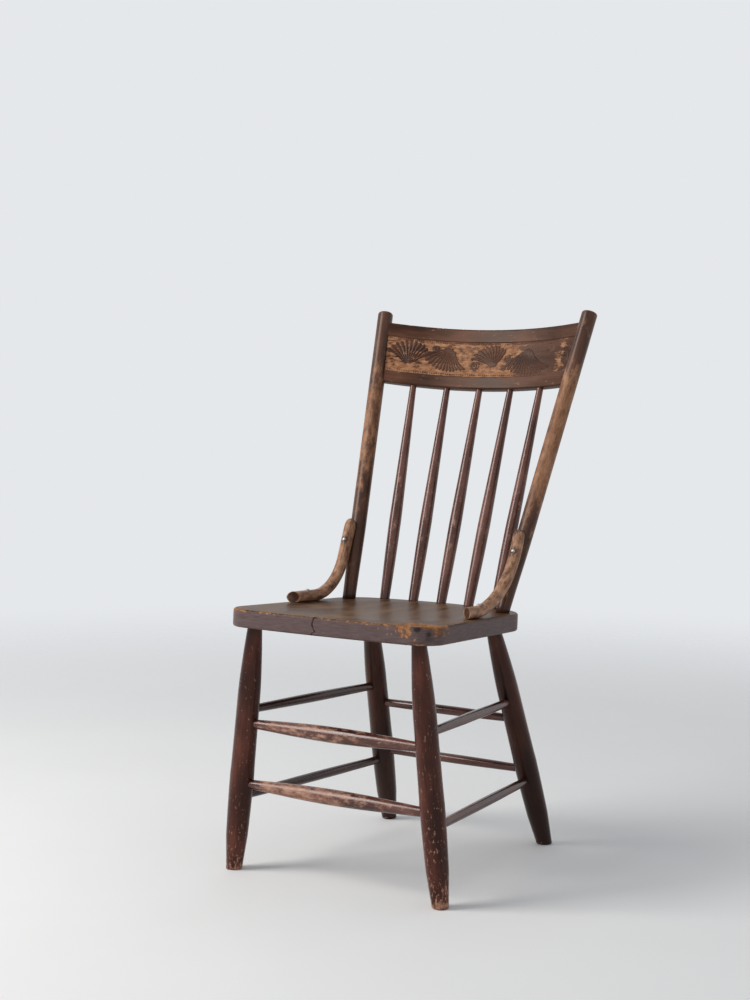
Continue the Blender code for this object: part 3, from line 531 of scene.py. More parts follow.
def leg_radius(share):
    """Radius of a leg at a share of its length from the floor."""
    for (low, low_size), (high, high_size), swell in zip(LEG_STATIONS, LEG_STATIONS[1:], LEG_SWELL):
        if share <= high:
            way = (share - low) / (high - low)
            bend = way ** swell if high_size < low_size else 1 - (1 - way) ** (1 / swell)
            return lerp(low_size, high_size, bend) / 2
    return LEG_STATIONS[-1][1] / 2


def dent(shape, number, depth):
    """Press small hollows into a rod, as knocks and dry wood leave them, and never out of it."""
    shape.normal_update()
    for vertex in shape.verts:
        place = vertex.co + Vector((number, 2 * number, 3 * number))
        knock = max(0.0, grit(place, 0.014) - 0.25) + 0.25 * (1 + grit(place, 0.040, (1, 1, 2))) / 2
        vertex.co -= vertex.normal * depth * knock


leg_finish = worn_wood(
    "red_brown_stain",
    film=((0.026, 0.0060, 0.0040), (0.062, 0.0155, 0.0092), (0.122, 0.037, 0.023)),
    bare=((0.150, 0.062, 0.036), (0.300, 0.140, 0.088), (0.460, 0.260, 0.175)),
    film_roughness=0.25, chip_scale=230.0, softness=0.14, flecking=0.40,
    sheen=0.28, tint=(1.0, 0.84, 0.78, 1.0))

# Front legs: how worn they are; rear legs: below zero, a painted shade that darkens them, most towards the
# floor.
LEG_WEAR_AND_SHADE = {"front_left": 0.08, "front_right": 0.14, "rear_left": -0.90, "rear_right": -0.90}
leg_ends = {"front": (FRONT_FOOT, FRONT_LEG_TOP), "rear": (REAR_FOOT, REAR_LEG_TOP)}
for number, (name, amount) in enumerate(LEG_WEAR_AND_SHADE.items()):
    row, hand = name.split("_")
    side = -1 if hand == "left" else 1
    foot, top = leg_ends[row]
    start = leg_axis(foot, top, side, 0)
    end = seat_point(side * top[0], top[1], SEAT_THICKNESS)
    length = (end - start).length
    outline = [(0, -LEG_SPARE), (leg_radius(0) - 0.002, -LEG_SPARE)]
    outline += [(leg_radius(step / 72), step / 72 * length) for step in range(73)]
    outline += [(leg_radius(1), length + ROD_STUB), (0, length + ROD_STUB)]
    placement = aim(start, end)
    leg = turn_rod(outline[::-1], LEG_SIDES, placement)
    cut_flat(leg, (0, 0, 0), (0, 0, -1), FOOT_ROUNDING, 4)
    dent(leg, number, LEG_DENT)
    for vertex in leg.verts:
        vertex.co.z = max(vertex.co.z, 0.0)

    # For the rear legs amount is below zero and paints shade, darkest towards the floor.
    def leg_wear_and_shade(point, amount=amount, row=row, end=end):
        lower = fade(0.30, 0.03, point.z)
        tip = fade(0.016, 0.004, point.z)
        scuff = fade(0.070, 0.010, point.z) * (0.12 if row == "front" else 0.05)
        joint = fade(0.030, 0.0, end.z - point.z)
        return amount * (0.45 + 0.75 * lower) + scuff + 0.26 * tip - 0.5 * joint

    make_piece(f"{row}_leg_turned_{hand}", leg, wood_grain(placement, number), leg_wear_and_shade,
               leg_finish, "turned_finish", f"{row}_leg_{hand}")

# ---------------------------------------------------------------------------------------------
# Stretchers: eight turned rungs that tie the legs, with their ends glued in blind sockets. The two
# front ones swell in the middle, and feet have rubbed them down to the wood there.
# Diameters in the middle and at the ends
FRONT_STRETCHER = (0.0262, 0.0160)
OTHER_STRETCHER = (0.0166, 0.0142)
STRETCHER_INSET = 0.0050
STRETCHER_END_LENGTH = 0.0146
STRETCHER_DENT = 0.0004


def stretcher_shape(start, end, diameter, end_diameter):
    """Rod between two legs' axes, with its placement and its length."""
    along = (end - start).normalized()
    tip = start + along * STRETCHER_INSET
    length = (end - start).length - 2 * STRETCHER_INSET
    outline = [(0, length), (end_diameter / 2, length)]
    for step in range(65):
        share = 1 - step / 64
        swelling = math.sin(math.pi * share) ** 1.15
        height = lerp(STRETCHER_END_LENGTH, length - STRETCHER_END_LENGTH, share)
        outline.append((lerp(end_diameter, diameter, swelling) / 2, height))
    outline += [(end_diameter / 2, 0), (0, 0)]
    placement = aim(tip, end)
    return turn_rod(outline, 40, placement), placement, length


rung_finish = worn_wood(
    "rubbed_red_brown_stain",
    film=((0.034, 0.010, 0.007), (0.082, 0.026, 0.018), (0.155, 0.060, 0.044)),
    bare=((0.160, 0.062, 0.036), (0.320, 0.150, 0.095), (0.500, 0.290, 0.200)),
    film_roughness=0.20, chip_scale=105.0, softness=0.34, flecking=0.30,
    sheen=0.60, tint=(1.0, 0.88, 0.86, 1.0))

# Each stretcher: the leg and height at either end, its wear, which below zero paints shade on the
# # side stretchers, and how much more its middle is rubbed
stretchers = {
    "front_stretcher_upper": ("front", "left", 0.2506, "front", "right", 0.2506, 0.08, 0.34),
    "front_stretcher_lower": ("front", "left", 0.1480, "front", "right", 0.1480, 0.14, 0.46),
    "rear_stretcher_upper": ("rear", "left", 0.2350, "rear", "right", 0.2350, -0.10, 0.0),
    "rear_stretcher_lower": ("rear", "left", 0.1410, "rear", "right", 0.1410, -0.10, 0.0),
    "side_stretcher_left_upper": ("front", "left", 0.2730, "rear", "left", 0.2670, -0.80, 0.0),
    "side_stretcher_left_lower": ("front", "left", 0.1248, "rear", "left", 0.1220, -0.80, 0.0),
    "side_stretcher_right_upper": ("front", "right", 0.2730, "rear", "right", 0.2670, -0.20, 0.1),
    "side_stretcher_right_lower": ("front", "right", 0.1248, "rear", "right", 0.1220, -0.20, 0.1),
}
for number, (name, fixing) in enumerate(stretchers.items()):
    row, hand, height, far_row, far_hand, far_height, amount, rub = fixing
    start = leg_axis(*leg_ends[row], -1 if hand == "left" else 1, height)
    end = leg_axis(*leg_ends[far_row], -1 if far_hand == "left" else 1, far_height)
    sizes = FRONT_STRETCHER if name.startswith("front") else OTHER_STRETCHER
    rod, placement, length = stretcher_shape(start, end, *sizes)
    dent(rod, 10 + number, STRETCHER_DENT)

    # An amount below zero darkens the rod towards black, as painted shade.
    def stretcher_wear_and_shade(point, placement=placement, length=length, amount=amount, rub=rub):
        inside = placement.inverted() @ point
        share = inside.z / length
        middle = fade(0.02, 0.16, share) * fade(0.85, 0.30, share)
        joint = fade(0.024, 0.014, inside.z) + fade(length - 0.024, length - 0.014, inside.z)
        return amount + rub * middle - 0.4 * joint

    make_piece(name + "_turned", rod, wood_grain(placement, 10 + number), stretcher_wear_and_shade,
               rung_finish, "turned_finish", name)

# ---------------------------------------------------------------------------------------------
# Back posts: two turned posts that lean back and splay out of the seat. Each is rounded over at the
# top, and rubbed to a tan colour where hands take hold of it.
POST_BASE = (0.154, 0.0435)
POST_LEAN = math.radians(21.8)
POST_SPLAY = math.radians(5.767)
POST_LENGTH = 0.5507
POST_BASE_DIAMETER = 0.0235
POST_DIAMETER = 0.0280
POST_TAPER_LENGTH = 0.150
POST_TOP_ROUNDING = 0.0048
POST_DENT = 0.0003


def back_point(x, up, behind=0.0):
    """Point at a distance up the leaning back, and behind the plane of the posts."""
    base = seat_point(0, POST_BASE[1])
    y = base.y + up * math.sin(POST_LEAN) + behind * math.cos(POST_LEAN)
    z = base.z + up * math.cos(POST_LEAN) - behind * math.sin(POST_LEAN)
    return Vector((x, y, z))


def post_x(up):
    """How far a post's axis stands from the middle at a distance up the back."""
    return POST_BASE[0] + math.tan(POST_SPLAY) * up


post_finish = worn_wood(
    "worn_brown_stain",
    film=((0.034, 0.013, 0.008), (0.080, 0.033, 0.020), (0.145, 0.066, 0.041)),
    bare=((0.150, 0.066, 0.034), (0.280, 0.130, 0.068), (0.420, 0.220, 0.125)),
    film_roughness=0.30, chip_scale=80.0, softness=0.34, flecking=0.30,
    sheen=0.32, tint=(1.0, 0.86, 0.78, 1.0))

for hand, side, amount in (("left", -1, 0.50), ("right", 1, 0.76)):
    base = back_point(side * post_x(0), 0)
    top = back_point(side * post_x(POST_LENGTH), POST_LENGTH)
    length = (top - base).length
    radius = POST_DIAMETER / 2
    outline = [(0, length), (0.6 * (radius - POST_TOP_ROUNDING), length - 0.0002)]
    for step in range(9):
        turn = math.pi / 2 * step / 8
        outline.append((radius - POST_TOP_ROUNDING * (1 - math.sin(turn)),
                        length - POST_TOP_ROUNDING * (1 - math.cos(turn))))
    for step in range(1, 60):
        height = (length - POST_TOP_ROUNDING) * (1 - step / 60)
        share = 0.5 - 0.5 * math.cos(math.pi * min(height / POST_TAPER_LENGTH, 1.0))
        outline.append((lerp(POST_BASE_DIAMETER, POST_DIAMETER, share) / 2, height))
    outline += [(POST_BASE_DIAMETER / 2, -ROD_STUB), (0, -ROD_STUB)]
    placement = aim(base, top)
    post = turn_rod(outline, 64, placement)
    along = (top - base) / length
    dent(post, 20 + side, POST_DENT)

    def post_wear(point, base=base, along=along, length=length, amount=amount, side=side):
        height = (point - base).dot(along)
        low = 0.14 if side > 0 else 0.15
        middle = fade(low, low + 0.12, height) * fade(length - 0.07, length - 0.17, height)
        tip = fade(length - 0.008, length - 0.001, height)
        joint = fade(0.020, 0.0, height)
        return 0.04 + amount * middle + 0.30 * tip - 0.6 * joint

    make_piece(f"back_post_turned_{hand}", post, wood_grain(placement, 30 + side), post_wear,
               post_finish, "post_finish", f"back_post_{hand}")

# ---------------------------------------------------------------------------------------------
# Crest rail: a board bent backwards between the posts and glued into them. A hot die has pressed
# a panel into its face: shells of fine ribs with scrolls between two dotted borders. The stain
# has worn off the pressed ground and stays on the ribs.
CREST_HEIGHT = 0.1158
CREST_BOTTOM = 0.4143
CREST_THICKNESS = 0.017
CREST_BACK_MARGIN = 0.0005
CREST_SAG = 0.0376
CREST_ARRIS = 0.003
PANEL_BOTTOM = 0.0225
PANEL_TOP = 0.0905
PANEL_END = 0.205
PANEL_DEPTH = 0.0014
# Each shell: root along the rail and up it, turn of its axis from upwards, half of its fan, length
# of its first, middle and last ribs counted clockwise, number of ribs, and their bend
SHELLS = (
    (-0.146, 0.0350, 0.03, 1.02, 0.052, 0.0530, 0.050, 11, 0.05),
    (-0.060, 0.0770, 2.80, 1.00, 0.050, 0.049, 0.068, 13, 0.40),
    (0.022, 0.0380, 0.34, 0.92, 0.054, 0.049, 0.044, 10, 0.30),
    (0.098, 0.0780, 3.10, 0.98, 0.066, 0.053, 0.066, 14, 0.40),
)
# Each scroll: its middle along the rail and up it, its radius and its hand
SCROLLS = (
    (-0.016, 0.0440, 0.0110, -1), (0.052, 0.0600, 0.0100, 1), (0.044, 0.0400, 0.0080, -1),
    (-0.098, 0.0740, 0.0080, 1), (-0.188, 0.0400, 0.0080, -1), (0.140, 0.0740, 0.0090, -1),
    (0.176, 0.0520, 0.0095, 1),
)


def crest_offset(x):
    """How far the bent rail lies behind the plane of the posts."""
    half_span = post_x(CREST_BOTTOM + CREST_HEIGHT / 2)
    return CREST_SAG * (1 - (x / half_span) ** 2)


def in_panel(x, rise):
    """1 in the pressed panel and 0 on the plain margins."""
    edge = fade(PANEL_BOTTOM, PANEL_BOTTOM + 0.0012, rise) * fade(PANEL_TOP, PANEL_TOP - 0.0012, rise)
    return edge * fade(PANEL_END, PANEL_END - 0.005, abs(x))


def shell_rise(x, rise):
    """Height of the ribs above the pressed ground, from 0 to 1, and how near the shell's root it is."""
    highest, root = 0.0, 0.0
    for root_x, root_rise, turn, half_fan, left, middle, right, ribs, curl in SHELLS:
        across, up = x - root_x, rise - root_rise
        reach = math.hypot(across, up)
        root = max(root, math.exp(-(reach / 0.012) ** 2))
        if reach > 1.1 * max(left, middle, right) or reach < 0.003:
            continue
        swing = math.atan2(-across, up) - turn
        swing = (swing + math.pi) % (2 * math.pi) - math.pi
        first = min(max(swing / half_fan, -1.0), 1.0)
        end = middle + first * (left - right) / 2 + first ** 2 * ((left + right) / 2 - middle)
        inner = 1 - min(reach / end, 1.0)
        share = (swing + curl * inner) * (1 + 0.25 * inner) / half_fan
        if abs(share) > 1.04:
            continue
        ridge = abs(math.sin(math.pi * ribs * (share + 1) / 2))
        end *= 0.93 + 0.07 * ridge
        lift = fade(end, end - 0.0030, reach) * fade(0.003, 0.008, reach) * fade(1.04, 0.97, abs(share))
        highest = max(highest, lift * (0.05 + 0.95 * ridge ** 0.8))
    return highest, root


def scroll_rise(x, rise):
    """Height of the scrolls above the pressed ground, from 0 to 1."""
    highest = 0.0
    for middle_x, middle_rise, radius, hand in SCROLLS:
        across = x - middle_x + 0.0025 * grit((x, rise, 7), 0.012)
        up = rise - middle_rise + 0.0025 * grit((x, rise, 9), 0.012)
        reach = math.hypot(across, up)
        if reach > radius:
            continue
        turn = hand * math.atan2(up, across) / (2 * math.pi)
        wave = 0.5 + 0.5 * math.cos(2 * math.pi * (reach / 0.0042 - turn))
        highest = max(highest, 0.75 * fade(radius, radius - 0.0030, reach) * (0.20 + 0.80 * wave))
    return highest


def border_rise(x, rise):
    """Beads along both borders of the panel."""
    beads = 0.0
    for line, pitch in ((PANEL_BOTTOM + 0.0038, 0.0044), (PANEL_TOP - 0.0036, 0.0036)):
        across = math.exp(-((rise - line) / 0.0010) ** 2)
        beads = max(beads, across * (0.5 + 0.5 * math.cos(2 * math.pi * x / pitch)))
    return beads


def pressed_depth(x, rise):
    """Depth of the face of the rail below its plain margins."""
    panel = in_panel(x, rise)
    if panel == 0.0:
        return 0.0
    raised = max(shell_rise(x, rise)[0], scroll_rise(x, rise), 0.75 * border_rise(x, rise))
    groove = math.exp(-((rise - PANEL_TOP + 0.0008) / 0.0007) ** 2)
    ground = PANEL_DEPTH * (1 - 0.85 * raised) + 0.00016 * grit((x, rise, 0), 0.0021)
    return panel * (ground + 0.0004 * groove)


CREST_COLUMNS = 560
CREST_ROWS = 108
crest = bmesh.new()
side_of = crest.verts.layers.float.new("side_of")
bmesh.ops.create_grid(crest, x_segments=CREST_COLUMNS, y_segments=CREST_ROWS, size=1.0)
for vertex in crest.verts:
    vertex[side_of] = (vertex.co.y > 0.9999) - (vertex.co.y < -0.9999)
    rise = lerp(CREST_ARRIS, CREST_HEIGHT - CREST_ARRIS, (vertex.co.y + 1) / 2)
    x = vertex.co.x * post_x(CREST_BOTTOM + rise)
    vertex.co = (x, rise, -pressed_depth(x, rise))
ring = [edge for edge in crest.edges if len(edge.link_faces) == 1]
rounding = [math.pi / 2 * step / 4 for step in range(1, 5)]
profile = [(CREST_ARRIS * math.sin(turn), CREST_ARRIS * (1 - math.cos(turn))) for turn in rounding]
last_straight = CREST_THICKNESS - CREST_BACK_MARGIN - CREST_ARRIS
profile += [(CREST_ARRIS, last_straight)]
profile += [(CREST_ARRIS * math.cos(turn), last_straight + CREST_ARRIS * math.sin(turn)) for turn in rounding]
last_out = 0.0
for out, depth in profile:
    ring = extrude_ring(crest, ring)
    for vertex in ring_corners(ring):
        vertex.co.y += vertex[side_of] * (out - last_out)
        vertex.co.z = -depth
    last_out = out
rows = [edge for edge in ring if all(vertex[side_of] > 0 for vertex in edge.verts)]
rows += [edge for edge in ring if all(vertex[side_of] < 0 for vertex in edge.verts)]
bmesh.ops.bridge_loops(crest, edges=rows)
bmesh.ops.holes_fill(crest, edges=[edge for edge in crest.edges if len(edge.link_faces) == 1], sides=0)
for vertex in crest.verts:
    x, rise, height = vertex.co
    upper_front = vertex[side_of] > 0 and height > -0.006
    nick = max(0.0, grit((x, rise, height), 0.006) - 0.42) * 0.0022 * upper_front
    vertex.co = back_point(x, CREST_BOTTOM + rise - nick, crest_offset(x) - CREST_THICKNESS / 2 - height)
bmesh.ops.recalc_face_normals(crest, faces=crest.faces)

crest_finish = worn_wood(
    "pressed_rail_stain",
    film=((0.034, 0.012, 0.007), (0.076, 0.029, 0.0155), (0.132, 0.056, 0.032)),
    bare=((0.170, 0.068, 0.030), (0.310, 0.140, 0.067), (0.480, 0.255, 0.140)),
    film_roughness=0.34, chip_scale=150.0, softness=0.20, flecking=0.22,
    sheen=0.18, tint=(1.0, 0.84, 0.74, 1.0))


def crest_flat(point):
    """Place on the rail before it was bent: along it, up it, and in front of the plane of the posts."""
    base = seat_point(0, POST_BASE[1])
    offset = point - base
    up = offset.y * math.sin(POST_LEAN) + offset.z * math.cos(POST_LEAN)
    behind = offset.y * math.cos(POST_LEAN) - offset.z * math.sin(POST_LEAN)
    return point.x, up - CREST_BOTTOM, crest_offset(point.x) - behind


def crest_wear(point):
    """Worn on the pressed ground, less so to the right, and along the top edge; sound on the ribs."""
    x, rise, forward = crest_flat(point)
    front = fade(0.0, 0.004, forward)
    top_edge = fade(CREST_HEIGHT - 0.0045, CREST_HEIGHT - 0.0010, rise)
    wear = 0.26 * top_edge * (0.5 + 0.5 * grit((x, 0, 0), 0.020))
    panel = in_panel(x, rise) * front
    if panel:
        ribs, root = shell_rise(x, rise)
        raised = max(ribs, scroll_rise(x, rise), 0.9 * border_rise(x, rise))
        across = 0.52 - 0.36 * fade(0.050, 0.110, x) + 0.36 * math.exp(-((x - 0.165) / 0.012) ** 2)
        across += 0.22 * grit((x, rise, 3), 0.022) + 0.18 * fade(0.040, 0.030, rise) * fade(0.10, 0.04, x)
        ground = across + 0.45 * root * (x < -0.1) - 0.25 * fade(0.060, 0.100, x) * fade(0.172, 0.150, x)
        dark = lerp(0.06, 0.34, fade(-0.150, -0.100, x))
        wear = lerp(wear, ground * (1 - raised) - dark * raised, panel)
        wear -= 0.8 * math.exp(-((rise - PANEL_TOP + 0.0006) / 0.0006) ** 2)
    return wear


def crest_grain(point):
    x, rise, forward = crest_flat(point)
    return rise + 5.0, forward + 3.0, x


make_piece("crest_rail_pressed", crest, crest_grain, crest_wear, crest_finish, "crest_finish", "crest_rail")

# ---------------------------------------------------------------------------------------------
# Spindles: five turned sticks, fullest below the middle and slender at the top, glued in holes
# in the seat and in the underside of the crest rail. Their stain is dark and still shines.
SPINDLE_COUNT = 5
SPINDLE_BASE_SPACING = 0.0560
SPINDLE_TOP_SPACING = 0.0650
SPINDLE_LINE = 0.1044
SPINDLE_LINE_BOW = 0.6
SPINDLE_BASE_DIAMETER = 0.0174
SPINDLE_BELLY_DIAMETER = 0.0218
SPINDLE_TOP_DIAMETER = 0.0118
SPINDLE_BELLY = 0.37
SPINDLE_SIDES = 36
SPINDLE_DENT = 0.0003

spindle_finish = worn_wood(
    "dark_spindle_stain",
    film=((0.050, 0.0150, 0.010), (0.118, 0.042, 0.029), (0.205, 0.092, 0.070)),
    bare=((0.140, 0.066, 0.044), (0.270, 0.140, 0.096), (0.400, 0.240, 0.170)),
    film_roughness=0.21, chip_scale=130.0, softness=0.30, flecking=-0.10,
    sheen=0.50, tint=(1.0, 0.88, 0.84, 1.0))

for number in range(SPINDLE_COUNT):
    place = number - (SPINDLE_COUNT - 1) / 2
    base_x = place * SPINDLE_BASE_SPACING
    top_x = place * SPINDLE_TOP_SPACING
    base = seat_point(base_x, SPINDLE_LINE - SPINDLE_LINE_BOW * base_x ** 2)
    top = back_point(top_x, CREST_BOTTOM, crest_offset(top_x))
    length = (top - base).length
    outline = [(0, length + ROD_STUB), (SPINDLE_TOP_DIAMETER / 2, length + ROD_STUB)]
    for step in range(41):
        share = 1 - step / 40
        diameter = lerp(SPINDLE_BELLY_DIAMETER, SPINDLE_TOP_DIAMETER, share ** 1.1)
        outline.append((diameter / 2, lerp(SPINDLE_BELLY, 1, share) * length))
    for step in range(1, 17):
        share = 1 - step / 16
        diameter = lerp(SPINDLE_BASE_DIAMETER, SPINDLE_BELLY_DIAMETER, math.sin(math.pi / 2 * share))
        outline.append((diameter / 2, SPINDLE_BELLY * share * length))
    outline += [(SPINDLE_BASE_DIAMETER / 2, -ROD_STUB), (0, -ROD_STUB)]
    placement = aim(base, top)
    spindle = turn_rod(outline, SPINDLE_SIDES, placement)
    dent(spindle, 40 + number, SPINDLE_DENT)

    def spindle_wear(point, base=base, top=top, length=length, number=number):
        height = (point - base).dot((top - base) / length)
        ring = math.exp(-((height - 0.002) / 0.0025) ** 2) * (0.5 if number == 3 else 0.0)
        joint = fade(0.010, 0.0, height) + fade(length - 0.006, length, height)
        return 0.05 + 0.08 * fade(0.02, 0.12, height) * fade(0.30, 0.15, height) + ring - 0.5 * joint

    make_piece(f"spindle_turned_{number + 1}", spindle, wood_grain(placement, 40 + number), spindle_wear,
               spindle_finish, "turned_finish", f"spindle_{number + 1}")

# ---------------------------------------------------------------------------------------------
# Braces: two round sticks bent with steam. Each lies on the seat with its front end cut aslant,
# rises round the bend and is screwed to the seat and to a post. Their finish is nearly worn away.
BRACE_X = 0.1695
BRACE_DIAMETER = 0.0205
BRACE_FRONT = -0.1095
BEND_RADII = {-1: 0.095, 1: 0.155}
BRACE_TOP = 0.141
BRACE_BEARING_FLAT = 0.0010
BRACE_END_SLANT = math.radians(32)
BRACE_END_ROUNDING = 0.0011
BRACE_DENT = 0.0005
CLEARANCE = 0.0003
BRACE_SIDES = 32
POST_SCREW_SETBACK = 0.042
SEAT_SCREW_SETBACK = 0.053
SPOT_FACE_DEPTH = 0.0008


def brace_path(side):
    """Stations of a brace, along the seat, round the bend and up the post: place, way, share of its width."""
    x = side * BRACE_X
    lift = BRACE_DIAMETER / 2 - BRACE_BEARING_FLAT + CLEARANCE
    ahead = (POST_DIAMETER + BRACE_DIAMETER) / 2 - BRACE_BEARING_FLAT + CLEARANCE
    seat_way = Vector((0, math.cos(SEAT_TILT), -math.sin(SEAT_TILT)))
    post_way = Vector((0, math.sin(POST_LEAN), math.cos(POST_LEAN)))
    on_seat = seat_point(x, 0) + SEAT_UP * lift
    on_post = back_point(x, 0, -ahead)
    gap = on_post - on_seat
    turn = seat_way.angle(post_way)
    corner = on_seat + seat_way * ((gap.y * post_way.z - gap.z * post_way.y) / math.sin(turn))
    bend_radius = BEND_RADII[side]
    tangent = bend_radius * math.tan(turn / 2)
    centre = corner - seat_way * tangent + SEAT_UP * bend_radius
    front = seat_point(x, BRACE_FRONT) + SEAT_UP * lift
    start = front - seat_way * BRACE_DIAMETER / 2
    bend_start = corner - seat_way * tangent
    bend_end = corner + post_way * tangent
    top = on_post + post_way * BRACE_TOP
    stations = [(start.lerp(bend_start, step / 16), seat_way, 1.0) for step in range(16)]
    for step in range(31):
        swing = turn * step / 30
        arm = seat_way * math.sin(swing) - SEAT_UP * math.cos(swing)
        way = seat_way * math.cos(swing) + SEAT_UP * math.sin(swing)
        stations.append((centre + arm * bend_radius, way, 1.0))
    end = top - post_way * BRACE_DIAMETER * 0.8
    stations += [(bend_end.lerp(end, step / 12), post_way, 1.0) for step in range(1, 13)]
    for step in range(1, 13):
        share = step / 12
        place = end.lerp(top, math.sin(math.pi / 2 * share))
        stations.append((place, post_way, max(math.cos(math.pi / 2 * share) ** 0.75, 0.06)))
    return stations


brace_finish = worn_wood(
    "nearly_bare_brace",
    film=((0.050, 0.022, 0.013), (0.120, 0.056, 0.034), (0.190, 0.098, 0.062)),
    bare=((0.210, 0.094, 0.048), (0.390, 0.202, 0.115), (0.540, 0.320, 0.200)),
    film_roughness=0.32, chip_scale=105.0, softness=0.34, flecking=0.20,
    sheen=0.34, tint=(1.0, 0.86, 0.78, 1.0))


def spot_on(points, setback):
    """Point on a brace's centre line at a distance from its first end, and the way along it there."""
    for start, end in zip(points, points[1:]):
        length = (end - start).length
        if setback <= length:
            break
        setback -= length
    way = (end - start).normalized()
    return start + way * setback, way


def screw_seats(side):
    """Where the heads of a brace's two screws sit, and the way each screw points."""
    line = [point for point, way, factor in brace_path(side)]
    face = BRACE_DIAMETER / 2 - SPOT_FACE_DEPTH
    seat_spot, seat_run = spot_on(line, SEAT_SCREW_SETBACK)
    post_spot, post_run = spot_on(line[::-1], POST_SCREW_SETBACK)
    seat_out = Vector((1, 0, 0)).cross(seat_run)
    post_out = Vector((1, 0, 0)).cross(-post_run)
    return {"post": (post_spot + post_out * face, -post_out),
            "seat": (seat_spot + seat_out * face, -seat_out)}


def slant_way(side):
    """Direction that the slanting front end of a brace faces."""
    return Matrix.Rotation(side * -BRACE_END_SLANT, 3, "Z") @ Vector((0, -1, 0))


def brace_shape(side):
    """Brace swept along its path, cut aslant in front, hollowed there, and flat where it lies on the seat."""
    stations = brace_path(side)
    shape = bmesh.new()
    ring, place = numbered_ring(shape, BRACE_SIDES, True)
    for number, (point, way, factor) in enumerate(stations):
        if number:
            ring = extrude_ring(shape, ring)
        across = Vector((1, 0, 0))
        upward = across.cross(way)
        for vertex in ring_corners(ring):
            angle = 2 * math.pi * vertex[place] / BRACE_SIDES
            arm = across * math.cos(angle) + upward * math.sin(angle)
            vertex.co = point + arm * factor * BRACE_DIAMETER / 2
    bmesh.ops.edgeloop_fill(shape, edges=ring)
    bmesh.ops.recalc_face_normals(shape, faces=shape.faces)
    front = seat_point(side * BRACE_X, BRACE_FRONT) + SEAT_UP * BRACE_DIAMETER
    slant = slant_way(side)
    cut_flat(shape, front, slant, BRACE_END_ROUNDING, 3)
    for thickness in (0.0008, 0.0022):
        shape.normal_update()
        end = max(shape.faces, key=lambda face: face.calc_area() * (face.normal.dot(slant) > 0.9))
        bmesh.ops.inset_region(shape, faces=[end], thickness=thickness, depth=-thickness / 8,
                               use_even_offset=False)
    for vertex in shape.verts:
        floor = seat_point(vertex.co.x, vertex.co.y) + SEAT_UP * CLEARANCE
        if vertex.co.z < floor.z:
            vertex.co.z = floor.z
    bmesh.ops.recalc_face_normals(shape, faces=shape.faces)
    return shape


for hand, side in (("left", -1), ("right", 1)):
    brace = brace_shape(side)
    dent(brace, 50 + side, BRACE_DENT)
    front = seat_point(side * BRACE_X, BRACE_FRONT) + SEAT_UP * BRACE_DIAMETER / 2
    stations = brace_path(side)

    def brace_grain(point, stations=stations, side=side):
        number = min(range(len(stations)), key=lambda index: (stations[index][0] - point).length_squared)
        centre, way = stations[number][:2]
        run = sum((stations[index + 1][0] - stations[index][0]).length for index in range(number))
        across = Vector((1, 0, 0))
        offset = point - centre
        return offset.x + 7 * side, offset.dot(across.cross(way)), run + offset.dot(way)

    cut_point = seat_point(side * BRACE_X, BRACE_FRONT) + SEAT_UP * BRACE_DIAMETER
    heads = [under_head for under_head, way in screw_seats(side).values()]

    def brace_wear(point, front=front, cut_point=cut_point, heads=heads, side=side, top=stations[-1][0]):
        slant = slant_way(side)
        ahead = (point - cut_point).dot(slant)
        off = point - front
        centre_off = (off - slant * off.dot(slant)).length
        face = fade(-0.0016, -0.0008, ahead) * fade(0.0100, 0.0080, centre_off)
        rim = fade(-0.0040, -0.0010, ahead) * fade(0.0085, 0.0100, centre_off)
        mottle = 0.22 * grit(point, 0.020) + 0.08 * grit(point, 0.007)
        joint = fade(0.0030, 0.0002, seat_depth(point) * -1)
        near = min((point - head).length for head in heads)
        round_head = fade(0.0085, 0.0050, near)
        tip = fade(0.020, 0.004, (point - top).length)
        worn = 0.62 + mottle + 0.2 * rim
        return worn - 1.1 * face - 0.7 * joint - 0.9 * round_head - 0.4 * tip

    make_piece(f"brace_bent_{hand}", brace, brace_grain, brace_wear, brace_finish, "brace_finish",
               f"brace_{hand}")

# ---------------------------------------------------------------------------------------------
# Screws: slotted round-head steel screws, two in each brace, one into the post and one into the
# seat. Their heads are rubbed bright, with dull brown patches.
SCREW_HEAD_DIAMETER = 0.0078
SCREW_HEAD_HEIGHT = 0.0028
SCREW_SLOT_WIDTH = 0.0010
SCREW_SLOT_DEPTH = 0.0012

screw_finish, screw_tree, screw_shader = new_finish("rubbed_steel")
screw_shader.inputs["Metallic"].default_value = 1.0
screw_place = add_node(screw_tree, "ShaderNodeAttribute", attribute_name="grain").outputs["Vector"]
screw_patches = pattern(screw_tree, screw_place, (1, 1, 1), 900.0, 5.0, 0.6)
screw_scratches = pattern(screw_tree, screw_place, (1, 0.08, 1), 4200.0, 2.0, 0.5)
screw_colour = colours(screw_tree, screw_patches, (0.35, (0.16, 0.12, 0.09)), (0.55, (0.46, 0.44, 0.41)),
                       (0.70, (0.66, 0.65, 0.63)))
screw_tree.links.new(screw_colour, screw_shader.inputs["Base Color"])
screw_roughness = maths(screw_tree, "MULTIPLY_ADD", screw_patches, 0.3, 0.14)
screw_tree.links.new(screw_roughness, screw_shader.inputs["Roughness"])
screw_bump = add_node(screw_tree, "ShaderNodeBump",
                      {"Height": screw_scratches, "Strength": 0.25, "Distance": 0.0002})
screw_tree.links.new(screw_bump.outputs[0], screw_shader.inputs["Normal"])


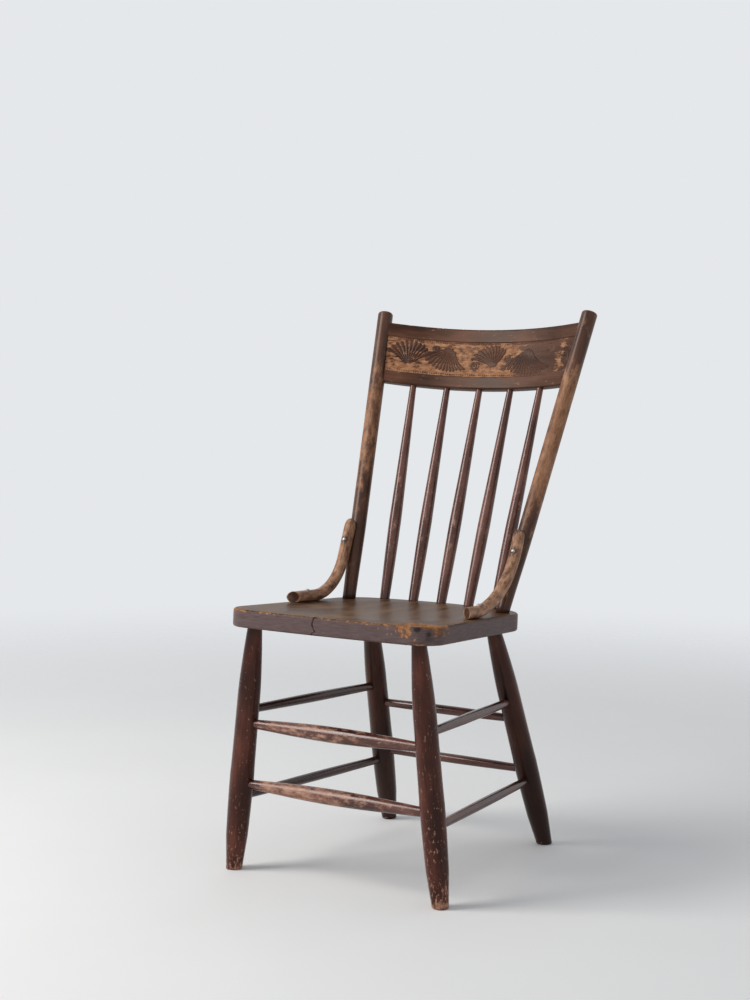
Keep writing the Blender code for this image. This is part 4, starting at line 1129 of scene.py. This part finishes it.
def screw_shape(under_head, way, slot_turn):
    """Screw head cut with its slot, over a stub of its shank, and the screw's placement."""
    radius = SCREW_HEAD_DIAMETER / 2
    outline = [(0, 0.004), (0.0020, 0.004), (0.0020, -CLEARANCE), (radius, -CLEARANCE)]
    for step in range(1, 12):
        turn = math.pi / 2 * step / 12
        outline.append((radius * math.cos(turn), -CLEARANCE - SCREW_HEAD_HEIGHT * math.sin(turn)))
    outline.append((0, -CLEARANCE - SCREW_HEAD_HEIGHT))
    placement = aim(under_head, under_head + way) @ Matrix.Rotation(slot_turn, 4, "Z")
    head = turn_rod(outline, 40, placement)
    half = SCREW_SLOT_WIDTH / 2
    level = -CLEARANCE - SCREW_HEAD_HEIGHT + SCREW_SLOT_DEPTH
    slot = [(-half, level), (half, level), (half, level - 0.004), (-half, level - 0.004)]
    turn = Matrix(((1, 0, 0, 0), (0, 0, 1, 0), (0, 1, 0, 0), (0, 0, 0, 1)))
    return cut_away(head, outline_piece("slot", slot, 2 * SCREW_HEAD_DIAMETER, placement @ turn)), placement


for hand, side in (("left", -1), ("right", 1)):
    for place, (under_head, way) in screw_seats(side).items():
        slot_turn = 0.5 if place == "post" else 1.9
        head, placement = screw_shape(under_head, way, slot_turn * side)
        screw = make_piece(f"{place}_screw_slotted_{hand}", head, wood_grain(placement, 0), lambda point: 0.0,
                           screw_finish, "screw_steel", f"brace_{place}_screw_{hand}")
        screw.data.set_sharp_from_angle(angle=math.radians(40))

# ---------------------------------------------------------------------------------------------
# Floor and light: a plain pale floor that fades into a pale backdrop, a broad window-like lamp
# from the front left and an even sky, at a level where a colour shows as it is.
FLOOR_RADIUS = 12.0
BACKDROP = (0.785, 0.805, 0.830)

floor_shape = bmesh.new()
bmesh.ops.create_circle(floor_shape, cap_ends=True, segments=96, radius=FLOOR_RADIUS)
bmesh.ops.translate(floor_shape, verts=floor_shape.verts, vec=(0, 0, -0.0004))
floor = to_object("floor", floor_shape)
floor_material, floor_tree, floor_shader = new_finish("pale_floor")
floor_place = add_node(floor_tree, "ShaderNodeTexCoord").outputs["Object"]
floor_grey = colours(floor_tree, pattern(floor_tree, floor_place, (1, 1, 1), 3.0), (0.3, (0.92, 0.92, 0.915)),
                     (0.7, (0.94, 0.94, 0.938)))
floor_tree.links.new(floor_grey, floor_shader.inputs["Base Color"])
floor_shader.inputs["Roughness"].default_value = 0.75
floor_reach = add_node(floor_tree, "ShaderNodeVectorMath", {0: floor_place}, operation="LENGTH")
floor_fade = steps(floor_tree, floor_reach.outputs["Value"], 1.1, 3.4)
floor_clear = add_node(floor_tree, "ShaderNodeBsdfTransparent").outputs[0]
floor_mix = add_node(floor_tree, "ShaderNodeMixShader",
                     {0: floor_fade, 1: floor_shader.outputs[0], 2: floor_clear})
floor_tree.links.new(floor_mix.outputs[0], floor_tree.nodes["Material Output"].inputs["Surface"])
floor.data.materials.append(floor_material)

world = bpy.data.worlds.new("pale_room")
bpy.context.scene.world = world
world.use_nodes = True
sky = world.node_tree
path = add_node(sky, "ShaderNodeLightPath")
seen = maths(sky, "ADD", path.outputs["Is Camera Ray"], path.outputs["Is Glossy Ray"])
seen = maths(sky, "ADD", seen, path.outputs["Is Transmission Ray"])
even = add_node(sky, "ShaderNodeBackground", {"Color": (0.93, 0.96, 1.0, 1.0), "Strength": 0.46})
backdrop = add_node(sky, "ShaderNodeBackground", {"Color": (*BACKDROP, 1.0), "Strength": 1.0})
sky_mix = add_node(sky, "ShaderNodeMixShader", {0: seen, 1: even.outputs[0], 2: backdrop.outputs[0]})
sky.links.new(sky_mix.outputs[0], sky.nodes["World Output"].inputs["Surface"])


def lamp(name, place, target, size, power, colour):
    data = bpy.data.lights.new(name, "AREA")
    data.shape = "RECTANGLE"
    data.size, data.size_y = size
    data.energy = power
    data.color = colour
    thing = bpy.data.objects.new(name, data)
    bpy.context.scene.collection.objects.link(thing)
    thing.location = place
    thing.rotation_euler = (Vector(target) - Vector(place)).to_track_quat("-Z", "Y").to_euler()


lamp("window", (-1.8, -1.9, 2.4), (0, 0, 0.45), (1.3, 1.9), 70.0, (1.0, 0.975, 0.94))

# ---------------------------------------------------------------------------------------------
# Camera: stands to the right of the chair's front, at the height of its crest rail, and looks
# slightly down, as the photograph does.
CAMERA_PLACE = Vector((1.5814, -2.6693, 0.8544))
CAMERA_YAW = 0.5553318
CAMERA_PITCH = -0.0765468
CAMERA_ROLL = 0.0115951

ahead = Vector((-math.sin(CAMERA_YAW) * math.cos(CAMERA_PITCH), math.cos(CAMERA_YAW) * math.cos(CAMERA_PITCH),
                math.sin(CAMERA_PITCH)))
level = Vector((math.cos(CAMERA_YAW), math.sin(CAMERA_YAW), 0))
above = level.cross(ahead)
right = level * math.cos(CAMERA_ROLL) + above * math.sin(CAMERA_ROLL)
above = above * math.cos(CAMERA_ROLL) - level * math.sin(CAMERA_ROLL)
camera_data = bpy.data.cameras.new("camera")
camera_data.sensor_width = 36.0
camera_data.lens = 65.57
camera = bpy.data.objects.new("camera", camera_data)
bpy.context.scene.collection.objects.link(camera)
turn = Matrix((right, above, -ahead)).transposed().to_4x4()
camera.matrix_world = Matrix.Translation(CAMERA_PLACE) @ turn
bpy.context.scene.camera = camera
bpy.context.scene.view_settings.view_transform = "Standard"
